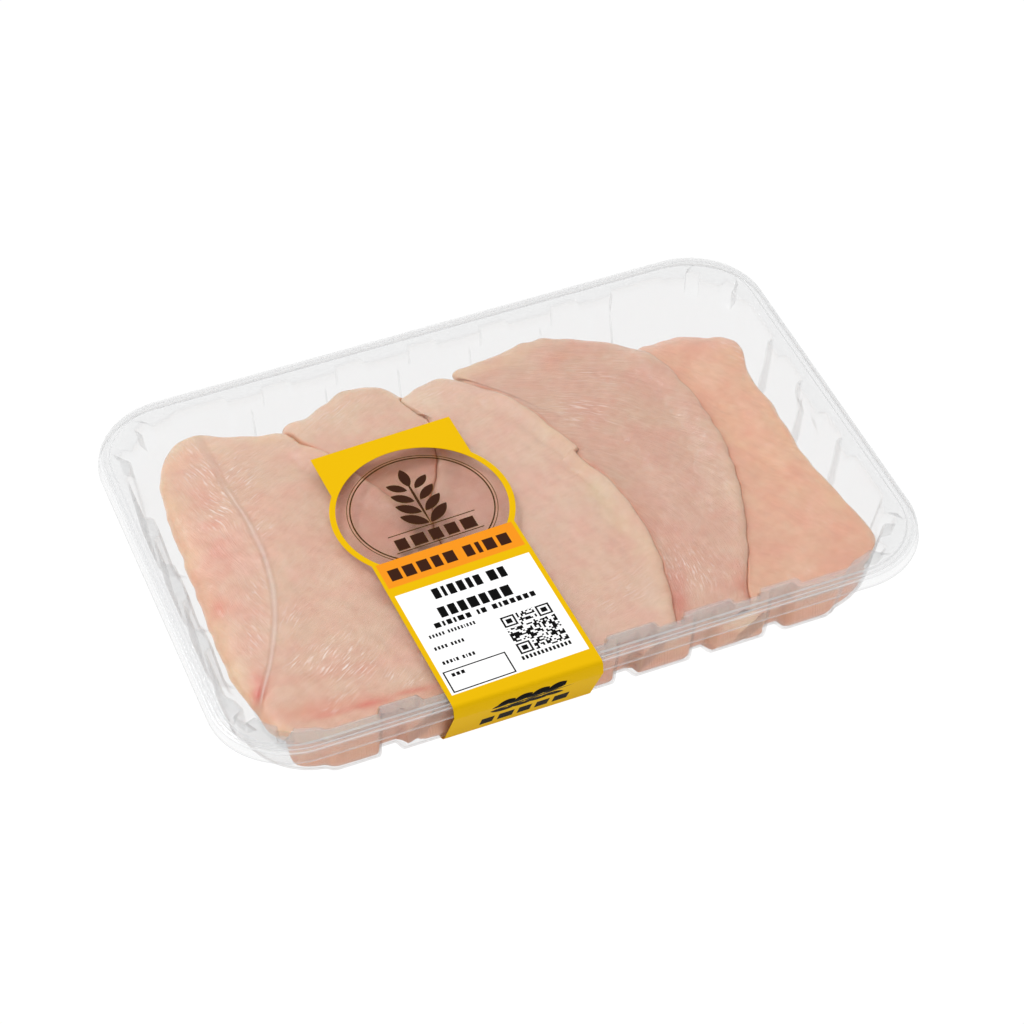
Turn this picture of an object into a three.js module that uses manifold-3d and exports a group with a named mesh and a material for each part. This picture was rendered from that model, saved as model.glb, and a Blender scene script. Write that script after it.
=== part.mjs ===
// Raw chicken breast fillets in a sealed clear tray, in millimetres, +Z up.
// X runs along the tray, the label hangs over the near long edge at -Y, and the base stands on Z = 0.

import * as THREE from 'three';
import { mergeVertices } from 'three/addons/utils/BufferGeometryUtils.js';
import Module from 'manifold-3d';

const wasm = await Module();
wasm.setup();

// Tray: the driving sizes
const TRAY_LENGTH = 260;
const TRAY_WIDTH = 180;
const TRAY_HEIGHT = 35;
const WALL = 0.8;
const CORNER_RADIUS = 29;
const FLANGE_WIDTH = 8;
const MOUTH_RADIUS = 27;
const DRAFT_LONG = 0.165;
const DRAFT_SHORT = 0.1;
const BASE_RADIUS = 12;

// Flange: a flat land that the film is sealed to, a small step, a rounded edge and a hanging skirt
const LAND_INSET = 4.2;
const STEP_INSET = 3.6;
const STEP_DROP = 0.5;
const EDGE_ROUND = 0.7;
const SKIRT_DEPTH = 4.7;
const SKIRT_FLARE = 0.6;

// Ribs: wide where they meet the flange, narrow further down, and deeper towards the base. A side's
// table gives how far each rib reaches at the flange, to the one side and the other of its middle.
const RIB_PITCH = 28.7;
const RIB_TOPS_LONG = [[4.7, 8.4], [8.4, 8.4], [8.4, 8.4], [8.4, 8.4], [8.4, 8.4], [8.4, 4.7]];
const RIB_TOPS_SHORT = [[4.3, 4.3], [8.4, 8.4], [4.3, 4.3]];
const RIB_HALF_LOW = 3.4;
const RIB_FLANK = 2;
const FLANK_SHARE = 0.7;
const RIB_DEPTH_TOP = 2.8;
const RIB_DEPTH_LOW = 5;
const RIB_NECK = 9;

// Stacking lugs: two small boxes in each corner, pushed out of the corner's inset panel; their
// starts, sweep and flanks and the panel's ease are in degrees round the corner
const CORNER_INSET = 2.2;
const LUG_OUT = 1.6;
const LUG_DEPTH = 7;
const LUG_STARTS = [21, 53];
const LUG_SWEEP = 10;
const LUG_FLANK = 1;
const CORNER_EASE = 10;

// Base: the wall's curve into it, as degrees and the ribs' share there, and a foot ring round a
// slightly raised panel
const FOOT_CURVE = [[35, 0.95], [62, 0.75], [90, 0.4]];
const FOOT_CORNER_SHARE = 0.6;
const FOOT_RING = 9;
const PANEL_SLOPE = 2;
const PANEL_RISE = 1.2;

// Lid film and label
const SEAL_GAP = 0.2;
const FILM_THICK = 0.3;
const FILM_INSET = 0.8;
const FILM_CORNER_STEPS = 10;
const LABEL_THICK = 0.3;
const LABEL_CENTRE = [-30.75, -0.25];
const LABEL_TURN = THREE.MathUtils.degToRad(2.05);
const LABEL_HALF_WIDTH = 27;
const LABEL_TOP = 39.1;
const LABEL_RING = 32.9;
const LABEL_RING_STEPS = 8;
const LABEL_EDGE_GAP = 0.5;
const LABEL_BEND = 1.6;
const LABEL_BEND_STEPS = [0, 30, 60, 90];
const LABEL_FOOT_STEPS = [30, 45, 60];
const LABEL_TUCK = [2.4, 1.1];

// Meat
const MEAT_GAP = 0.3;
const WALL_GAP = 0.4;
const HEADROOM = 1.2;
const FILLET_SIDES = 24;
const FILLET_RINGS = [0.45, 0.78, 0.95];
const FILLET_EDGE_POWER = 5;
const RIM_LIFT = 0.45;
const RIM_LIFT_FROM = 0.7;
const OUTLINE_TENSION = 0.5;
const DROOP_FROM = 35;
const DROOP_TO = 75;
const SWELL = 0.6;
const SWELL_ALONG = 16;
const SWELL_ACROSS = 21;

const MERGE_DISTANCE = 1e-4;

function plastic(color, roughness, opacity) {
  return new THREE.MeshStandardMaterial({ color, roughness, metalness: 0, transparent: true, opacity });
}

const materials = {
  tray: plastic(0xe6e9ea, 0.12, 0.35),
  film: plastic(0xf2f4f4, 0.08, 0.2),
  label: new THREE.MeshStandardMaterial({ color: 0xf3c605, roughness: 0.4, metalness: 0 }),
};

const smooth = (a, b, t) => THREE.MathUtils.smoothstep(t, a, b);
const mix = THREE.MathUtils.lerp;

// Geometry helpers

function geometryFrom(points, triangles) {
  const geometry = new THREE.BufferGeometry();
  geometry.setAttribute('position', new THREE.Float32BufferAttribute(points.flat(), 3));
  geometry.setIndex(triangles.flat());
  return geometry;
}

// Bands of quads between rings of equal length, each ring one loop of points.
function loftTriangles(ringCount, sides) {
  const triangles = [];
  for (let ring = 0; ring + 1 < ringCount; ring++) {
    for (let side = 0; side < sides; side++) {
      const next = (side + 1) % sides;
      const a = ring * sides + side;
      const b = ring * sides + next;
      triangles.push([a, b, b + sides], [a, b + sides, a + sides]);
    }
  }
  return triangles;
}

// A closed body from anticlockwise rings that start underneath, run up the outside and end on top,
// with a fan round a middle point in the first ring and another in the last.
function closedLoft(rings, firstMiddle, lastMiddle) {
  const sides = rings[0].length;
  const points = rings.flat();
  const triangles = loftTriangles(rings.length, sides);
  const first = points.push(firstMiddle ?? [0, 0, rings[0][0][2]]) - 1;
  const last = points.push(lastMiddle ?? [0, 0, rings.at(-1)[0][2]]) - 1;
  const start = (rings.length - 1) * sides;
  for (let side = 0; side < sides; side++) {
    const next = (side + 1) % sides;
    triangles.push([first, next, side], [last, start + side, start + next]);
  }
  return geometryFrom(points, triangles);
}

function toManifold(geometry) {
  const merged = geometry.clone();
  merged.deleteAttribute('normal');
  merged.deleteAttribute('uv');
  const closed = mergeVertices(merged, MERGE_DISTANCE);
  return new wasm.Manifold(new wasm.Mesh({
    numProp: 3,
    vertProperties: new Float32Array(closed.attributes.position.array),
    triVerts: new Uint32Array(closed.index.array),
  }));
}

function fromManifold(solid) {
  const mesh = solid.getMesh();
  const geometry = new THREE.BufferGeometry();
  geometry.setAttribute('position', new THREE.Float32BufferAttribute(mesh.vertProperties, 3));
  geometry.setIndex(Array.from(mesh.triVerts));
  return geometry;
}

function addMesh(group, name, geometry, material) {
  geometry.computeVertexNormals();
  const mesh = new THREE.Mesh(geometry, material);
  mesh.name = name;
  group.add(mesh);
}

// Tray outline: stations round the mouth, each with how far the wall stands in at a depth

function ribHalf(depth, top) {
  return mix(top, RIB_HALF_LOW, smooth(0, RIB_NECK, depth));
}

function ribDepth(depth) {
  return mix(RIB_DEPTH_TOP, RIB_DEPTH_LOW, depth / TRAY_HEIGHT);
}

// A straight side's stations: the four corners of each rib's section. A rib gets narrower on the
// outside of the wall and wider in the room that the meat has, so that its flanks keep their gap.
function sideStations(side, tops) {
  return tops.flatMap(([before, after], rib) => {
    const middle = (rib - (tops.length - 1) / 2) * RIB_PITCH;
    const corners = [[-1, before, RIB_FLANK, 0], [-1, before, 0, 1], [1, after, 0, 1], [1, after, RIB_FLANK, 0]];
    return corners.map(([sign, top, flank, inset]) => ({
      side,
      along: (depth, out) => middle + sign * (ribHalf(depth, top) + flank - out * FLANK_SHARE),
      inset: (depth) => inset * ribDepth(depth),
    }));
  });
}

// A corner's stations: the panel stands in, but for the two lugs.
function cornerStations(corner) {
  const marks = [[0, 'wall'], [CORNER_EASE, 'panel']];
  for (const start of LUG_STARTS) {
    const end = start + LUG_SWEEP;
    marks.push([start - LUG_FLANK, 'panel'], [start, 'lug'], [end, 'lug'], [end + LUG_FLANK, 'panel']);
  }
  marks.push([90 - CORNER_EASE, 'panel'], [90, 'wall']);
  const mirrored = corner % 2 === 1;
  const ordered = mirrored ? marks.map(([angle, kind]) => [90 - angle, kind]).reverse() : marks;
  return ordered.map(([angle, kind]) => ({
    corner,
    angle: THREE.MathUtils.degToRad(angle),
    inset: (depth, lugOut) => {
      if (kind === 'wall') return 0;
      return kind === 'lug' && depth <= LUG_DEPTH ? -lugOut : CORNER_INSET;
    },
  }));
}

const stations = [0, 1, 2, 3].flatMap((side) => [
  ...sideStations(side, side % 2 === 0 ? RIB_TOPS_SHORT : RIB_TOPS_LONG),
  ...cornerStations(side),
]);

// One point of a rounded rectangle of half sizes [hx, hy]. The relief, how far the wall's ribs, corner
// panels and lugs stand out of it, has a share of its full size, a depth, and a distance out.
function outlinePoint(station, [hx, hy], radius, z, { share, depth, out, lugOut }) {
  const inset = station.inset(depth, lugOut) * share;
  if (station.corner === undefined) {
    const along = station.along(depth, out);
    const x = hx - inset;
    const y = hy - inset;
    return [[x, along, z], [-along, y, z], [-x, -along, z], [along, -y, z]][station.side];
  }
  const turn = station.corner * Math.PI / 2 + station.angle;
  const sx = station.corner === 0 || station.corner === 3 ? 1 : -1;
  const sy = station.corner < 2 ? 1 : -1;
  const reach = radius - inset;
  return [sx * (hx - radius) + reach * Math.cos(turn), sy * (hy - radius) + reach * Math.sin(turn), z];
}

const PLAIN = { share: 0, depth: 0, out: 0, lugOut: 0 };

function ring(halves, radius, z, relief = PLAIN) {
  return stations.map((station) => outlinePoint(station, halves, radius, z, relief));
}

// Half sizes of the wall at a depth, a distance `out` outside its inner face.
function wallHalves(depth, out) {
  return [
    TRAY_LENGTH / 2 - FLANGE_WIDTH - DRAFT_SHORT * depth + out,
    TRAY_WIDTH / 2 - FLANGE_WIDTH - DRAFT_LONG * depth + out,
  ];
}

// The wall's rings from the mouth down to the floor, `out` outside the inner face.
function wallRings(out, topZ, lugOut = LUG_OUT) {
  const radius = BASE_RADIUS - WALL + out;
  const startAngle = Math.atan(DRAFT_LONG);
  const footZ = BASE_RADIUS - radius * Math.sin(startAngle);
  const footDepth = TRAY_HEIGHT - footZ;
  const wallRing = (depth, z) => ring(
    wallHalves(depth, out), MOUTH_RADIUS + out, z, { share: 1, depth, out, lugOut });
  const rings = [wallRing(0, topZ)];
  for (const depth of [LUG_DEPTH, RIB_NECK, footDepth]) {
    rings.push(wallRing(depth, TRAY_HEIGHT - depth));
  }
  const shrink = (inset) => wallHalves(footDepth, out - inset);
  for (const [degrees, share] of FOOT_CURVE) {
    const angle = THREE.MathUtils.degToRad(degrees);
    const inset = radius * (Math.cos(startAngle) - Math.cos(angle));
    const z = BASE_RADIUS - radius * Math.sin(angle);
    const cornerRadius = MOUTH_RADIUS + out - inset * FOOT_CORNER_SHARE;
    rings.push(ring(shrink(inset), cornerRadius, z, { share, depth: footDepth, out, lugOut }));
  }
  const floorInset = radius * Math.cos(startAngle) + FOOT_RING;
  const floorZ = BASE_RADIUS - radius;
  const floorRelief = { share: 0, depth: footDepth, out: 0, lugOut };
  for (const [more, rise] of [[0, 0], [PANEL_SLOPE, PANEL_RISE]]) {
    rings.push(ring(shrink(floorInset + more), MOUTH_RADIUS - BASE_RADIUS, floorZ + rise, floorRelief));
  }
  return rings;
}

function outerRing(inset, z) {
  return ring([TRAY_LENGTH / 2 - inset, TRAY_WIDTH / 2 - inset], CORNER_RADIUS - inset, z);
}

function trayGeometry() {
  const top = TRAY_HEIGHT;
  const edge = top - STEP_DROP;
  const flange = [
    outerRing(LAND_INSET, top),
    outerRing(STEP_INSET, edge),
    outerRing(EDGE_ROUND, edge),
    outerRing(0, edge - EDGE_ROUND),
    outerRing(-SKIRT_FLARE, top - SKIRT_DEPTH),
    outerRing(WALL - SKIRT_FLARE, top - SKIRT_DEPTH),
    outerRing(WALL, edge - WALL - EDGE_ROUND / 2),
    outerRing(STEP_INSET + WALL, edge - WALL),
  ];
  const inside = wallRings(0, top);
  const outside = wallRings(WALL, top - WALL).reverse();
  return closedLoft([...outside, ...flange.reverse(), ...inside]);
}

// Lid film: a rounded plate over the flange, just inside its edge

function filmGeometry() {
  const hx = TRAY_LENGTH / 2 - FILM_INSET;
  const hy = TRAY_WIDTH / 2 - FILM_INSET;
  const radius = CORNER_RADIUS - FILM_INSET;
  const shape = new THREE.Shape();
  shape.moveTo(hx, hy - radius);
  shape.absarc(hx - radius, hy - radius, radius, 0, Math.PI / 2);
  shape.absarc(radius - hx, hy - radius, radius, Math.PI / 2, Math.PI);
  shape.absarc(radius - hx, radius - hy, radius, Math.PI, Math.PI * 1.5);
  shape.absarc(hx - radius, radius - hy, radius, Math.PI * 1.5, Math.PI * 2);
  const film = new THREE.ExtrudeGeometry(shape, {
    depth: FILM_THICK,
    bevelEnabled: false,
    curveSegments: FILM_CORNER_STEPS,
  });
  return film.translate(0, 0, TRAY_HEIGHT + SEAL_GAP);
}

// Label: a strip with a round bulge, flat on the film, then folded down to the base's edge

// The label's half width at a distance along its own length, measured from the round window.
function labelHalfWidth(along) {
  const bulge = Math.sqrt(Math.max(0, LABEL_RING ** 2 - along ** 2));
  return Math.max(LABEL_HALF_WIDTH, bulge);
}

// Distances along the flat part where the label has a row of points: its far end and round the ring.
function labelStops() {
  const end = Math.acos(LABEL_HALF_WIDTH / LABEL_RING);
  const stops = [LABEL_TOP];
  for (let step = 0; step <= LABEL_RING_STEPS; step++) {
    stops.push(LABEL_RING * Math.sin(mix(end, -end, step / LABEL_RING_STEPS)));
  }
  return stops;
}

// The side of the fold in the Y-Z plane: over the edge, straight to the base's round, and round it.
function labelPath() {
  const lift = TRAY_HEIGHT + SEAL_GAP * 2 + FILM_THICK + LABEL_THICK / 2;
  const edge = TRAY_WIDTH / 2 + SKIRT_FLARE + LABEL_EDGE_GAP;
  const reach = BASE_RADIUS + LABEL_EDGE_GAP;
  const [, wallY] = wallHalves(TRAY_HEIGHT - BASE_RADIUS, WALL);
  const footY = wallY - BASE_RADIUS * Math.cos(Math.atan(DRAFT_LONG));
  const path = LABEL_BEND_STEPS.map(THREE.MathUtils.degToRad).map((angle) => [
    edge - LABEL_BEND + LABEL_BEND * Math.sin(angle),
    lift - LABEL_BEND + LABEL_BEND * Math.cos(angle),
  ]);
  path.push([edge, TRAY_HEIGHT - SKIRT_DEPTH]);
  for (const angle of LABEL_FOOT_STEPS.map(THREE.MathUtils.degToRad)) {
    path.push([footY + reach * Math.cos(angle), BASE_RADIUS - reach * Math.sin(angle)]);
  }
  const [lastY, lastZ] = path.at(-1);
  const [tuckIn, tuckDown] = LABEL_TUCK;
  path.push([lastY - tuckIn, Math.max(lastZ - tuckDown, LABEL_THICK)]);
  return path.map(([y, z]) => new THREE.Vector2(-y, z));
}

// The label's two edges, left and right, where its middle surface has reached a stop or a path point.
// Past the fold the strip goes on in the direction that it had, by its slant along X.
function labelRows() {
  const path = labelPath();
  const [cx, cy] = LABEL_CENTRE;
  const cos = Math.cos(LABEL_TURN);
  const sin = Math.sin(LABEL_TURN);
  const flat = labelStops().map((along) => ({
    ends: [-1, 1].map((side) => {
      const x = side * labelHalfWidth(along);
      return [cx + x * cos - along * sin, cy + x * sin + along * cos, path[0].y];
    }),
    normal: new THREE.Vector2(0, 1),
  }));
  let run = 0;
  const folded = path.map((point, index) => {
    const before = path[Math.max(index - 1, 0)];
    const after = path[Math.min(index + 1, path.length - 1)];
    run += point.distanceTo(before);
    const tangent = index === 0 ? new THREE.Vector2(-1, 0) : after.clone().sub(before).normalize();
    const ends = [-1, 1].map((side) => {
      const halfWidth = side * LABEL_HALF_WIDTH;
      const along = (path[0].x - cy - halfWidth * sin) / cos;
      return [cx + halfWidth * cos - along * sin + run * Math.tan(LABEL_TURN), point.x, point.y];
    });
    return { ends, normal: new THREE.Vector2(tangent.y, -tangent.x) };
  });
  return [...flat, ...folded];
}

function labelGeometry() {
  const half = LABEL_THICK / 2;
  const rings = labelRows().map(({ ends, normal }) => {
    const up = ends.map(([x, y, z]) => [x, y + normal.x * half, z + normal.y * half]);
    const down = ends.map(([x, y, z]) => [x, y - normal.x * half, z - normal.y * half]);
    return [up[1], up[0], down[0], down[1]];
  });
  const sides = rings[0].length;
  const triangles = loftTriangles(rings.length, sides);
  const end = (rings.length - 1) * sides;
  triangles.push([0, 3, 2], [0, 2, 1], [end, end + 1, end + 2], [end, end + 2, end + 3]);
  return geometryFrom(rings.flat(), triangles);
}

// Fillets: flat rounded solids that overlap like tiles; each is cut by those that lie on it.
// outline: points in plan, anticlockwise; middle: height of the middle surface; lean: its rise per
// millimetre along X and Y; thick: full thickness; sag: how far the far edge droops. The rim lies above
// the middle surface, so that a fillet's edge is thin on top. The near ends press against the wall.
const TOP_FILLETS = [
  {
    name: 'fillet_top_3',
    colour: 0xd9b095,
    outline: [[-5, 68], [-13, 64], [-13, 48], [-18, 24], [-27, 0], [-28, -40], [-21, -92], [10, -97],
      [27, -90], [37, -60], [40, -38], [38, -10], [32, 18], [24, 40], [14, 59], [3, 69]],
    middle: 26.6, lean: [0.035, 0], thick: 9.5, sag: 1,
  },
  {
    name: 'fillet_top_1',
    colour: 0xdcae9c,
    outline: [[-61, 65], [-71, 68], [-82, 73], [-93, 77], [-103, 72], [-110, 60], [-116, 38], [-120, 0],
      [-119, -38], [-116, -62], [-106, -92], [-60, -98], [-22, -95], [-16, -50], [-24, -8], [-37, 14],
      [-46, 34], [-55, 52]],
    middle: 26, lean: [0.02, -0.01], thick: 10.5, sag: 1.5,
  },
  {
    name: 'fillet_top_4',
    colour: 0xdaab95,
    outline: [[9, 72], [4, 36], [8, -10], [14, -50], [24, -96], [52, -95], [62, -72], [70, -56], [78, -34],
      [84, -8], [84, 24], [79, 46], [72, 58], [61, 67], [50, 75], [40, 79], [25, 78]],
    middle: 25, lean: [0.045, 0], thick: 10, sag: 1,
  },
  {
    name: 'fillet_top_2',
    colour: 0xdcb3a0,
    outline: [[-61, 66], [-66, 30], [-60, -20], [-36, -48], [-12, -40], [-2, 10], [-6, 50], [-16, 71],
      [-24, 77], [-34, 78], [-49, 71]],
    middle: 23.8, lean: [0, 0.02], thick: 10, sag: 2,
  },
  {
    name: 'fillet_top_5',
    colour: 0xe2b29b,
    outline: [[74, 62], [62, 30], [52, -10], [50, -60], [68, -95], [105, -93], [114, -68], [117, -40],
      [116, -10], [115, 24], [118, 44], [114, 53], [104, 56], [95, 61], [84, 62]],
    middle: 23.4, lean: [0.01, -0.01], thick: 10.5, sag: 1.5,
  },
];

// The layer underneath shows only through the near wall: five like pieces, tilted the other way.
const LOW_FILLET = {
  outline: [[0, 62], [-20, 40], [-27, -10], [-21, -60], [-8, -92], [22, -90], [30, -40], [27, 20], [15, 60]],
  lean: [0.04, -0.02], thick: 20, sag: 2,
};
const LOW_COLOURS = [0xd8a98c, 0xd7a58b, 0xdaa98c, 0xd8a788, 0xd9a98a];
const LOW_FIRST_X = -84;
const LOW_STEP = 41;
const LOW_MIDDLE = 13.2;
const LOW_MIDDLE_STEP = -1.1;

const lowFillets = LOW_COLOURS.map((colour, index) => ({
  ...LOW_FILLET,
  name: `fillet_low_${index + 1}`,
  colour,
  outline: LOW_FILLET.outline.map(([x, y]) => [x + LOW_FIRST_X + LOW_STEP * index, y]),
  middle: LOW_MIDDLE + LOW_MIDDLE_STEP * index,
}));

// Height of a fillet's middle surface.
function middleHeight(fillet, x, y) {
  const [leanX, leanY] = fillet.lean;
  const [cx, cy] = centroid(fillet.outline);
  const droop = fillet.sag * smooth(DROOP_FROM, DROOP_TO, y);
  const swell = SWELL * Math.sin(x / SWELL_ALONG) * Math.cos(y / SWELL_ACROSS);
  return fillet.middle + leanX * (x - cx) + leanY * (y - cy) - droop + swell;
}

function centroid(outline) {
  const sum = outline.reduce(([sx, sy], [x, y]) => [sx + x, sy + y], [0, 0]);
  return sum.map((value) => value / outline.length);
}

// Share of the full thickness at a share of the way out to the edge.
function edgeShare(reach) {
  return Math.sqrt(1 - reach ** FILLET_EDGE_POWER);
}

function filletGeometry(fillet, grow = 0) {
  const curve = new THREE.CatmullRomCurve3(
    fillet.outline.map(([x, y]) => new THREE.Vector3(x, y, 0)), true, 'catmullrom', OUTLINE_TENSION);
  const rim = curve.getSpacedPoints(FILLET_SIDES).slice(1);
  const [cx, cy] = centroid(fillet.outline);
  const half = fillet.thick / 2;
  const place = (point, reach, face) => {
    const away = Math.hypot(point.x - cx, point.y - cy);
    const scale = reach * (away + grow) / away;
    const x = cx + (point.x - cx) * scale;
    const y = cy + (point.y - cy) * scale;
    const lift = half * RIM_LIFT * smooth(RIM_LIFT_FROM, 1, reach);
    const z = middleHeight(fillet, x, y) + lift + face * (half * edgeShare(reach) + grow);
    return [x, y, z];
  };
  const under = FILLET_RINGS.map((reach) => [reach, -1]);
  const over = FILLET_RINGS.map((reach) => [reach, 1]).reverse();
  const rings = [...under, [1, 0], ...over].map(
    ([reach, face]) => rim.map((point) => place(point, reach, face)));
  return closedLoft(rings, place(rim[0], 0, -1), place(rim[0], 0, 1));
}

// The free room in the tray, a gap inside its walls and without its lugs, to trim the meat with.
function cavityGeometry() {
  return closedLoft(wallRings(-WALL_GAP, TRAY_HEIGHT - HEADROOM, -CORNER_INSET).reverse());
}

function largestPiece(solid) {
  return solid.decompose().sort((a, b) => b.volume() - a.volume())[0];
}

const group = new THREE.Group();
addMesh(group, 'tray', trayGeometry(), materials.tray);
addMesh(group, 'lid_film', filmGeometry(), materials.film);
addMesh(group, 'label', labelGeometry(), materials.label);

const cavity = toManifold(cavityGeometry());
const lying = [];
for (const fillet of [...TOP_FILLETS, ...lowFillets]) {
  let solid = toManifold(filletGeometry(fillet)).intersect(cavity);
  for (const above of lying) solid = solid.subtract(above);
  lying.push(toManifold(filletGeometry(fillet, MEAT_GAP)));
  const meat = new THREE.MeshStandardMaterial({ color: fillet.colour, roughness: 0.35, metalness: 0 });
  addMesh(group, fillet.name, fromManifold(largestPiece(solid)), meat);
}

export default group;
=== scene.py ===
import math

import bpy
import numpy as np
from mathutils import Matrix, Vector


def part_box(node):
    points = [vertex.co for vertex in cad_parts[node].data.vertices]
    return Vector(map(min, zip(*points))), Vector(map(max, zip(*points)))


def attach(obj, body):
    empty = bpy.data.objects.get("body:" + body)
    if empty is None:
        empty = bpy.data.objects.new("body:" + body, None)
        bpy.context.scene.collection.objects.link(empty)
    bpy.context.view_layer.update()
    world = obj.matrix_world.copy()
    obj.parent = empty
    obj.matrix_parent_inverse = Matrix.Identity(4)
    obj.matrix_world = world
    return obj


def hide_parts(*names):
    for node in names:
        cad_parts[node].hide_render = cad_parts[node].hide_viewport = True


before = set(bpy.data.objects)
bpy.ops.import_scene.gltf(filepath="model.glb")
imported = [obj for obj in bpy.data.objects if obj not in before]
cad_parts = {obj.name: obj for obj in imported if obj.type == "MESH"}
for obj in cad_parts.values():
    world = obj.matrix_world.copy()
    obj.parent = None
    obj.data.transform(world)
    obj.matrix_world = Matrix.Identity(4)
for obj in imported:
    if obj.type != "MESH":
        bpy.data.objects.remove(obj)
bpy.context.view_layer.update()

bl_info = {
    "name": "Sealed tray of raw chicken fillets",
    "version": (1, 0, 0),
    "blender": (4, 5, 0),
    "location": "View3D > Sidebar > Chicken",
    "description": "Builds raw chicken fillets in a clear ribbed tray with a lid film and a folded label",
    "category": "Add Mesh",
}

# All shapes are worked out in millimetres and put into the meshes in metres.
MM = 0.001

# Tray: the driving sizes, from the frame where it has them
TRAY_HIGH = np.array(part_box("tray")[1]) / MM
FILM_LOW, FILM_HIGH = (np.array(corner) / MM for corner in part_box("lid_film"))
LABEL_LOW, LABEL_HIGH = (np.array(corner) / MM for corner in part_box("label"))
SKIRT_FLARE = 0.6
TRAY_HEIGHT = TRAY_HIGH[2]
RIM_HALVES = TRAY_HIGH[:2] - SKIRT_FLARE
CORNER_RADIUS = 29.0
FLANGE_WIDTH = 8.0
MOUTH_RADIUS = 27.0
DRAFT = np.array([0.1, 0.165])
BASE_RADIUS = 12.0
OUTSIDE = 0.8

# Flange: a land that the film is sealed to, a step, a bead, a rounded edge and a hanging skirt
LAND_INSET = 4.2
STEP_INSET = 3.6
STEP_DROP = 0.5
BEAD_INSET = 2.1
BEAD_HEIGHT = 0.18
EDGE_ROUND = 0.7
SKIRT_DEPTH = 4.7
SKIRT_LIP = 0.16
MOUTH_ROUND = 1.2
# Depths of the wall's rings, close together where ribs and lugs change
WALL_DEPTHS = (1.8, 2.6, 3.6, 4.8, 5.8, 6.5, 7.0, 7.5, 8.0, 8.5, 9.0, 12.0, 16.0, 20.0)
# How milky the sheet is inside the flange and on its top, and how much more milk on its bead, edge and step
# paints highlight lines there
MILK_INSIDE = 0.1
MILK_TOP = 0.4
PAINTED_HIGHLIGHT_BEAD = 0.9
PAINTED_HIGHLIGHT_EDGE = 1.1
MILK_AND_HIGHLIGHT_STEP = 1.2
# The same down the wall, by the number of a ring from the mouth's edge
MILK_WALL_RINGS = (0, 2, 5, 9)
MILK_WALL = (0.3, 0.3, 0.1, 0.02)
# Edges sharper than this many degrees aren't smoothed
SHARP_DEGREES = 50

# Ribs: each has a narrow core that gets deeper towards the base and a wide shoulder that fades out
# below the flange. A side's table gives how far each rib reaches at the flange, before and after its
# middle; where that is little, the core alone widens there.
RIB_PITCH = 28.7
RIB_TOPS_LONG = np.array([(4.7, 8.4)] + [(8.4, 8.4)] * 4 + [(8.4, 4.7)])
RIB_TOPS_SHORT = np.array([(4.3, 4.3), (8.4, 8.4), (4.3, 4.3)])
SHOULDER_LEAST = 6.0
SHOULDER_FADE = (3.0, 14.0)
RIB_HALF_LOW = 3.4
RIB_NECK = 9.0
RIB_DEPTH_TOP = 2.8
RIB_DEPTH_LOW = 5.0
FLANK_FROM = 0.4
FLANK_WIDTH = 1.2
FLANK_ROUND = 0.2
FLANK_SHARE = 0.7
FLANK_STEPS = (0.0, 0.2, 0.4, 0.6, 0.85, 1.15, 1.4, 1.6, 1.8, 2.0)

# Corners: an inset panel with two stacking lugs, in degrees round the corner
CORNER_INSET = 2.2
CORNER_EASE = 10.0
CORNER_STEP = 3.0
LUG_OUT = 1.6
LUG_DEPTH = 7.0
LUG_STARTS = (21.0, 53.0)
LUG_SWEEP = 10.0
LUG_EASE = (1.4, 0.4)
LUG_EDGE_STEPS = (-1.8, -1.2, -0.8, -0.4, 0.0, 0.4, 0.8)

# Base: the wall's curve into it, then a foot ring round a slightly raised panel
FOOT_CURVE_DEGREES = (35.0, 62.0, 90.0)
FOOT_CURVE_SHARES = (0.95, 0.75, 0.4)
FOOT_CORNER_SHARE = 0.6
FOOT_RING = 9.0
PANEL_SLOPE = 2.0
PANEL_RISE = 1.2

# Lid film and label
FILM_SAG = 0.25
FILM_RIPPLE = 0.04
FILM_RIPPLE_SIZE = 60.0
FILM_SEED = 4
FILM_GAP = 0.06
FILM_SHEET = 0.1
LABEL_CENTRE = np.array([-30.75, -0.25])
LABEL_TURN = math.radians(2.05)
LABEL_HALF_WIDTH = 27.0
LABEL_TOP = 39.1
LABEL_RING = 32.9
LABEL_SHEET = 0.16
LABEL_BEND = 1.6
LABEL_CORE = 0.15
LABEL_FOOT_GAP = 0.5
LABEL_TUCK = (2.4, 1.1)

# Meat
MEAT_GAP = 0.12
WALL_GAP = 0.05
EDGE_POWER = 5
OUTLINE_TENSION = 0.5
DROOP_FROM = 35.0
DROOP_TO = 75.0
SWELL = 0.6
SWELL_ALONG = 16.0
SWELL_ACROSS = 21.0
RIM_LIFT = 0.76
OUTER_RIM_LIFT = 0.2
OUTER_X = (92, 106)
OUTER_Y = (44, 58)
RIM_LIFT_FROM = 0.7
LIP_RISE = 2.0
LIP_ROUND = 0.7
LIP_SLOPE = 0.25
LIP_REACH = 14.0
LIP_PRESS = 0.25
SQUEEZE = 1.7
SQUEEZE_REACH = 6.0
# Width of the painted crease shade past the edge of a piece lying on top, in millimetres
PAINTED_CREASE_SHADE_WIDTH = 1.5
PRESS = 0.5

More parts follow.
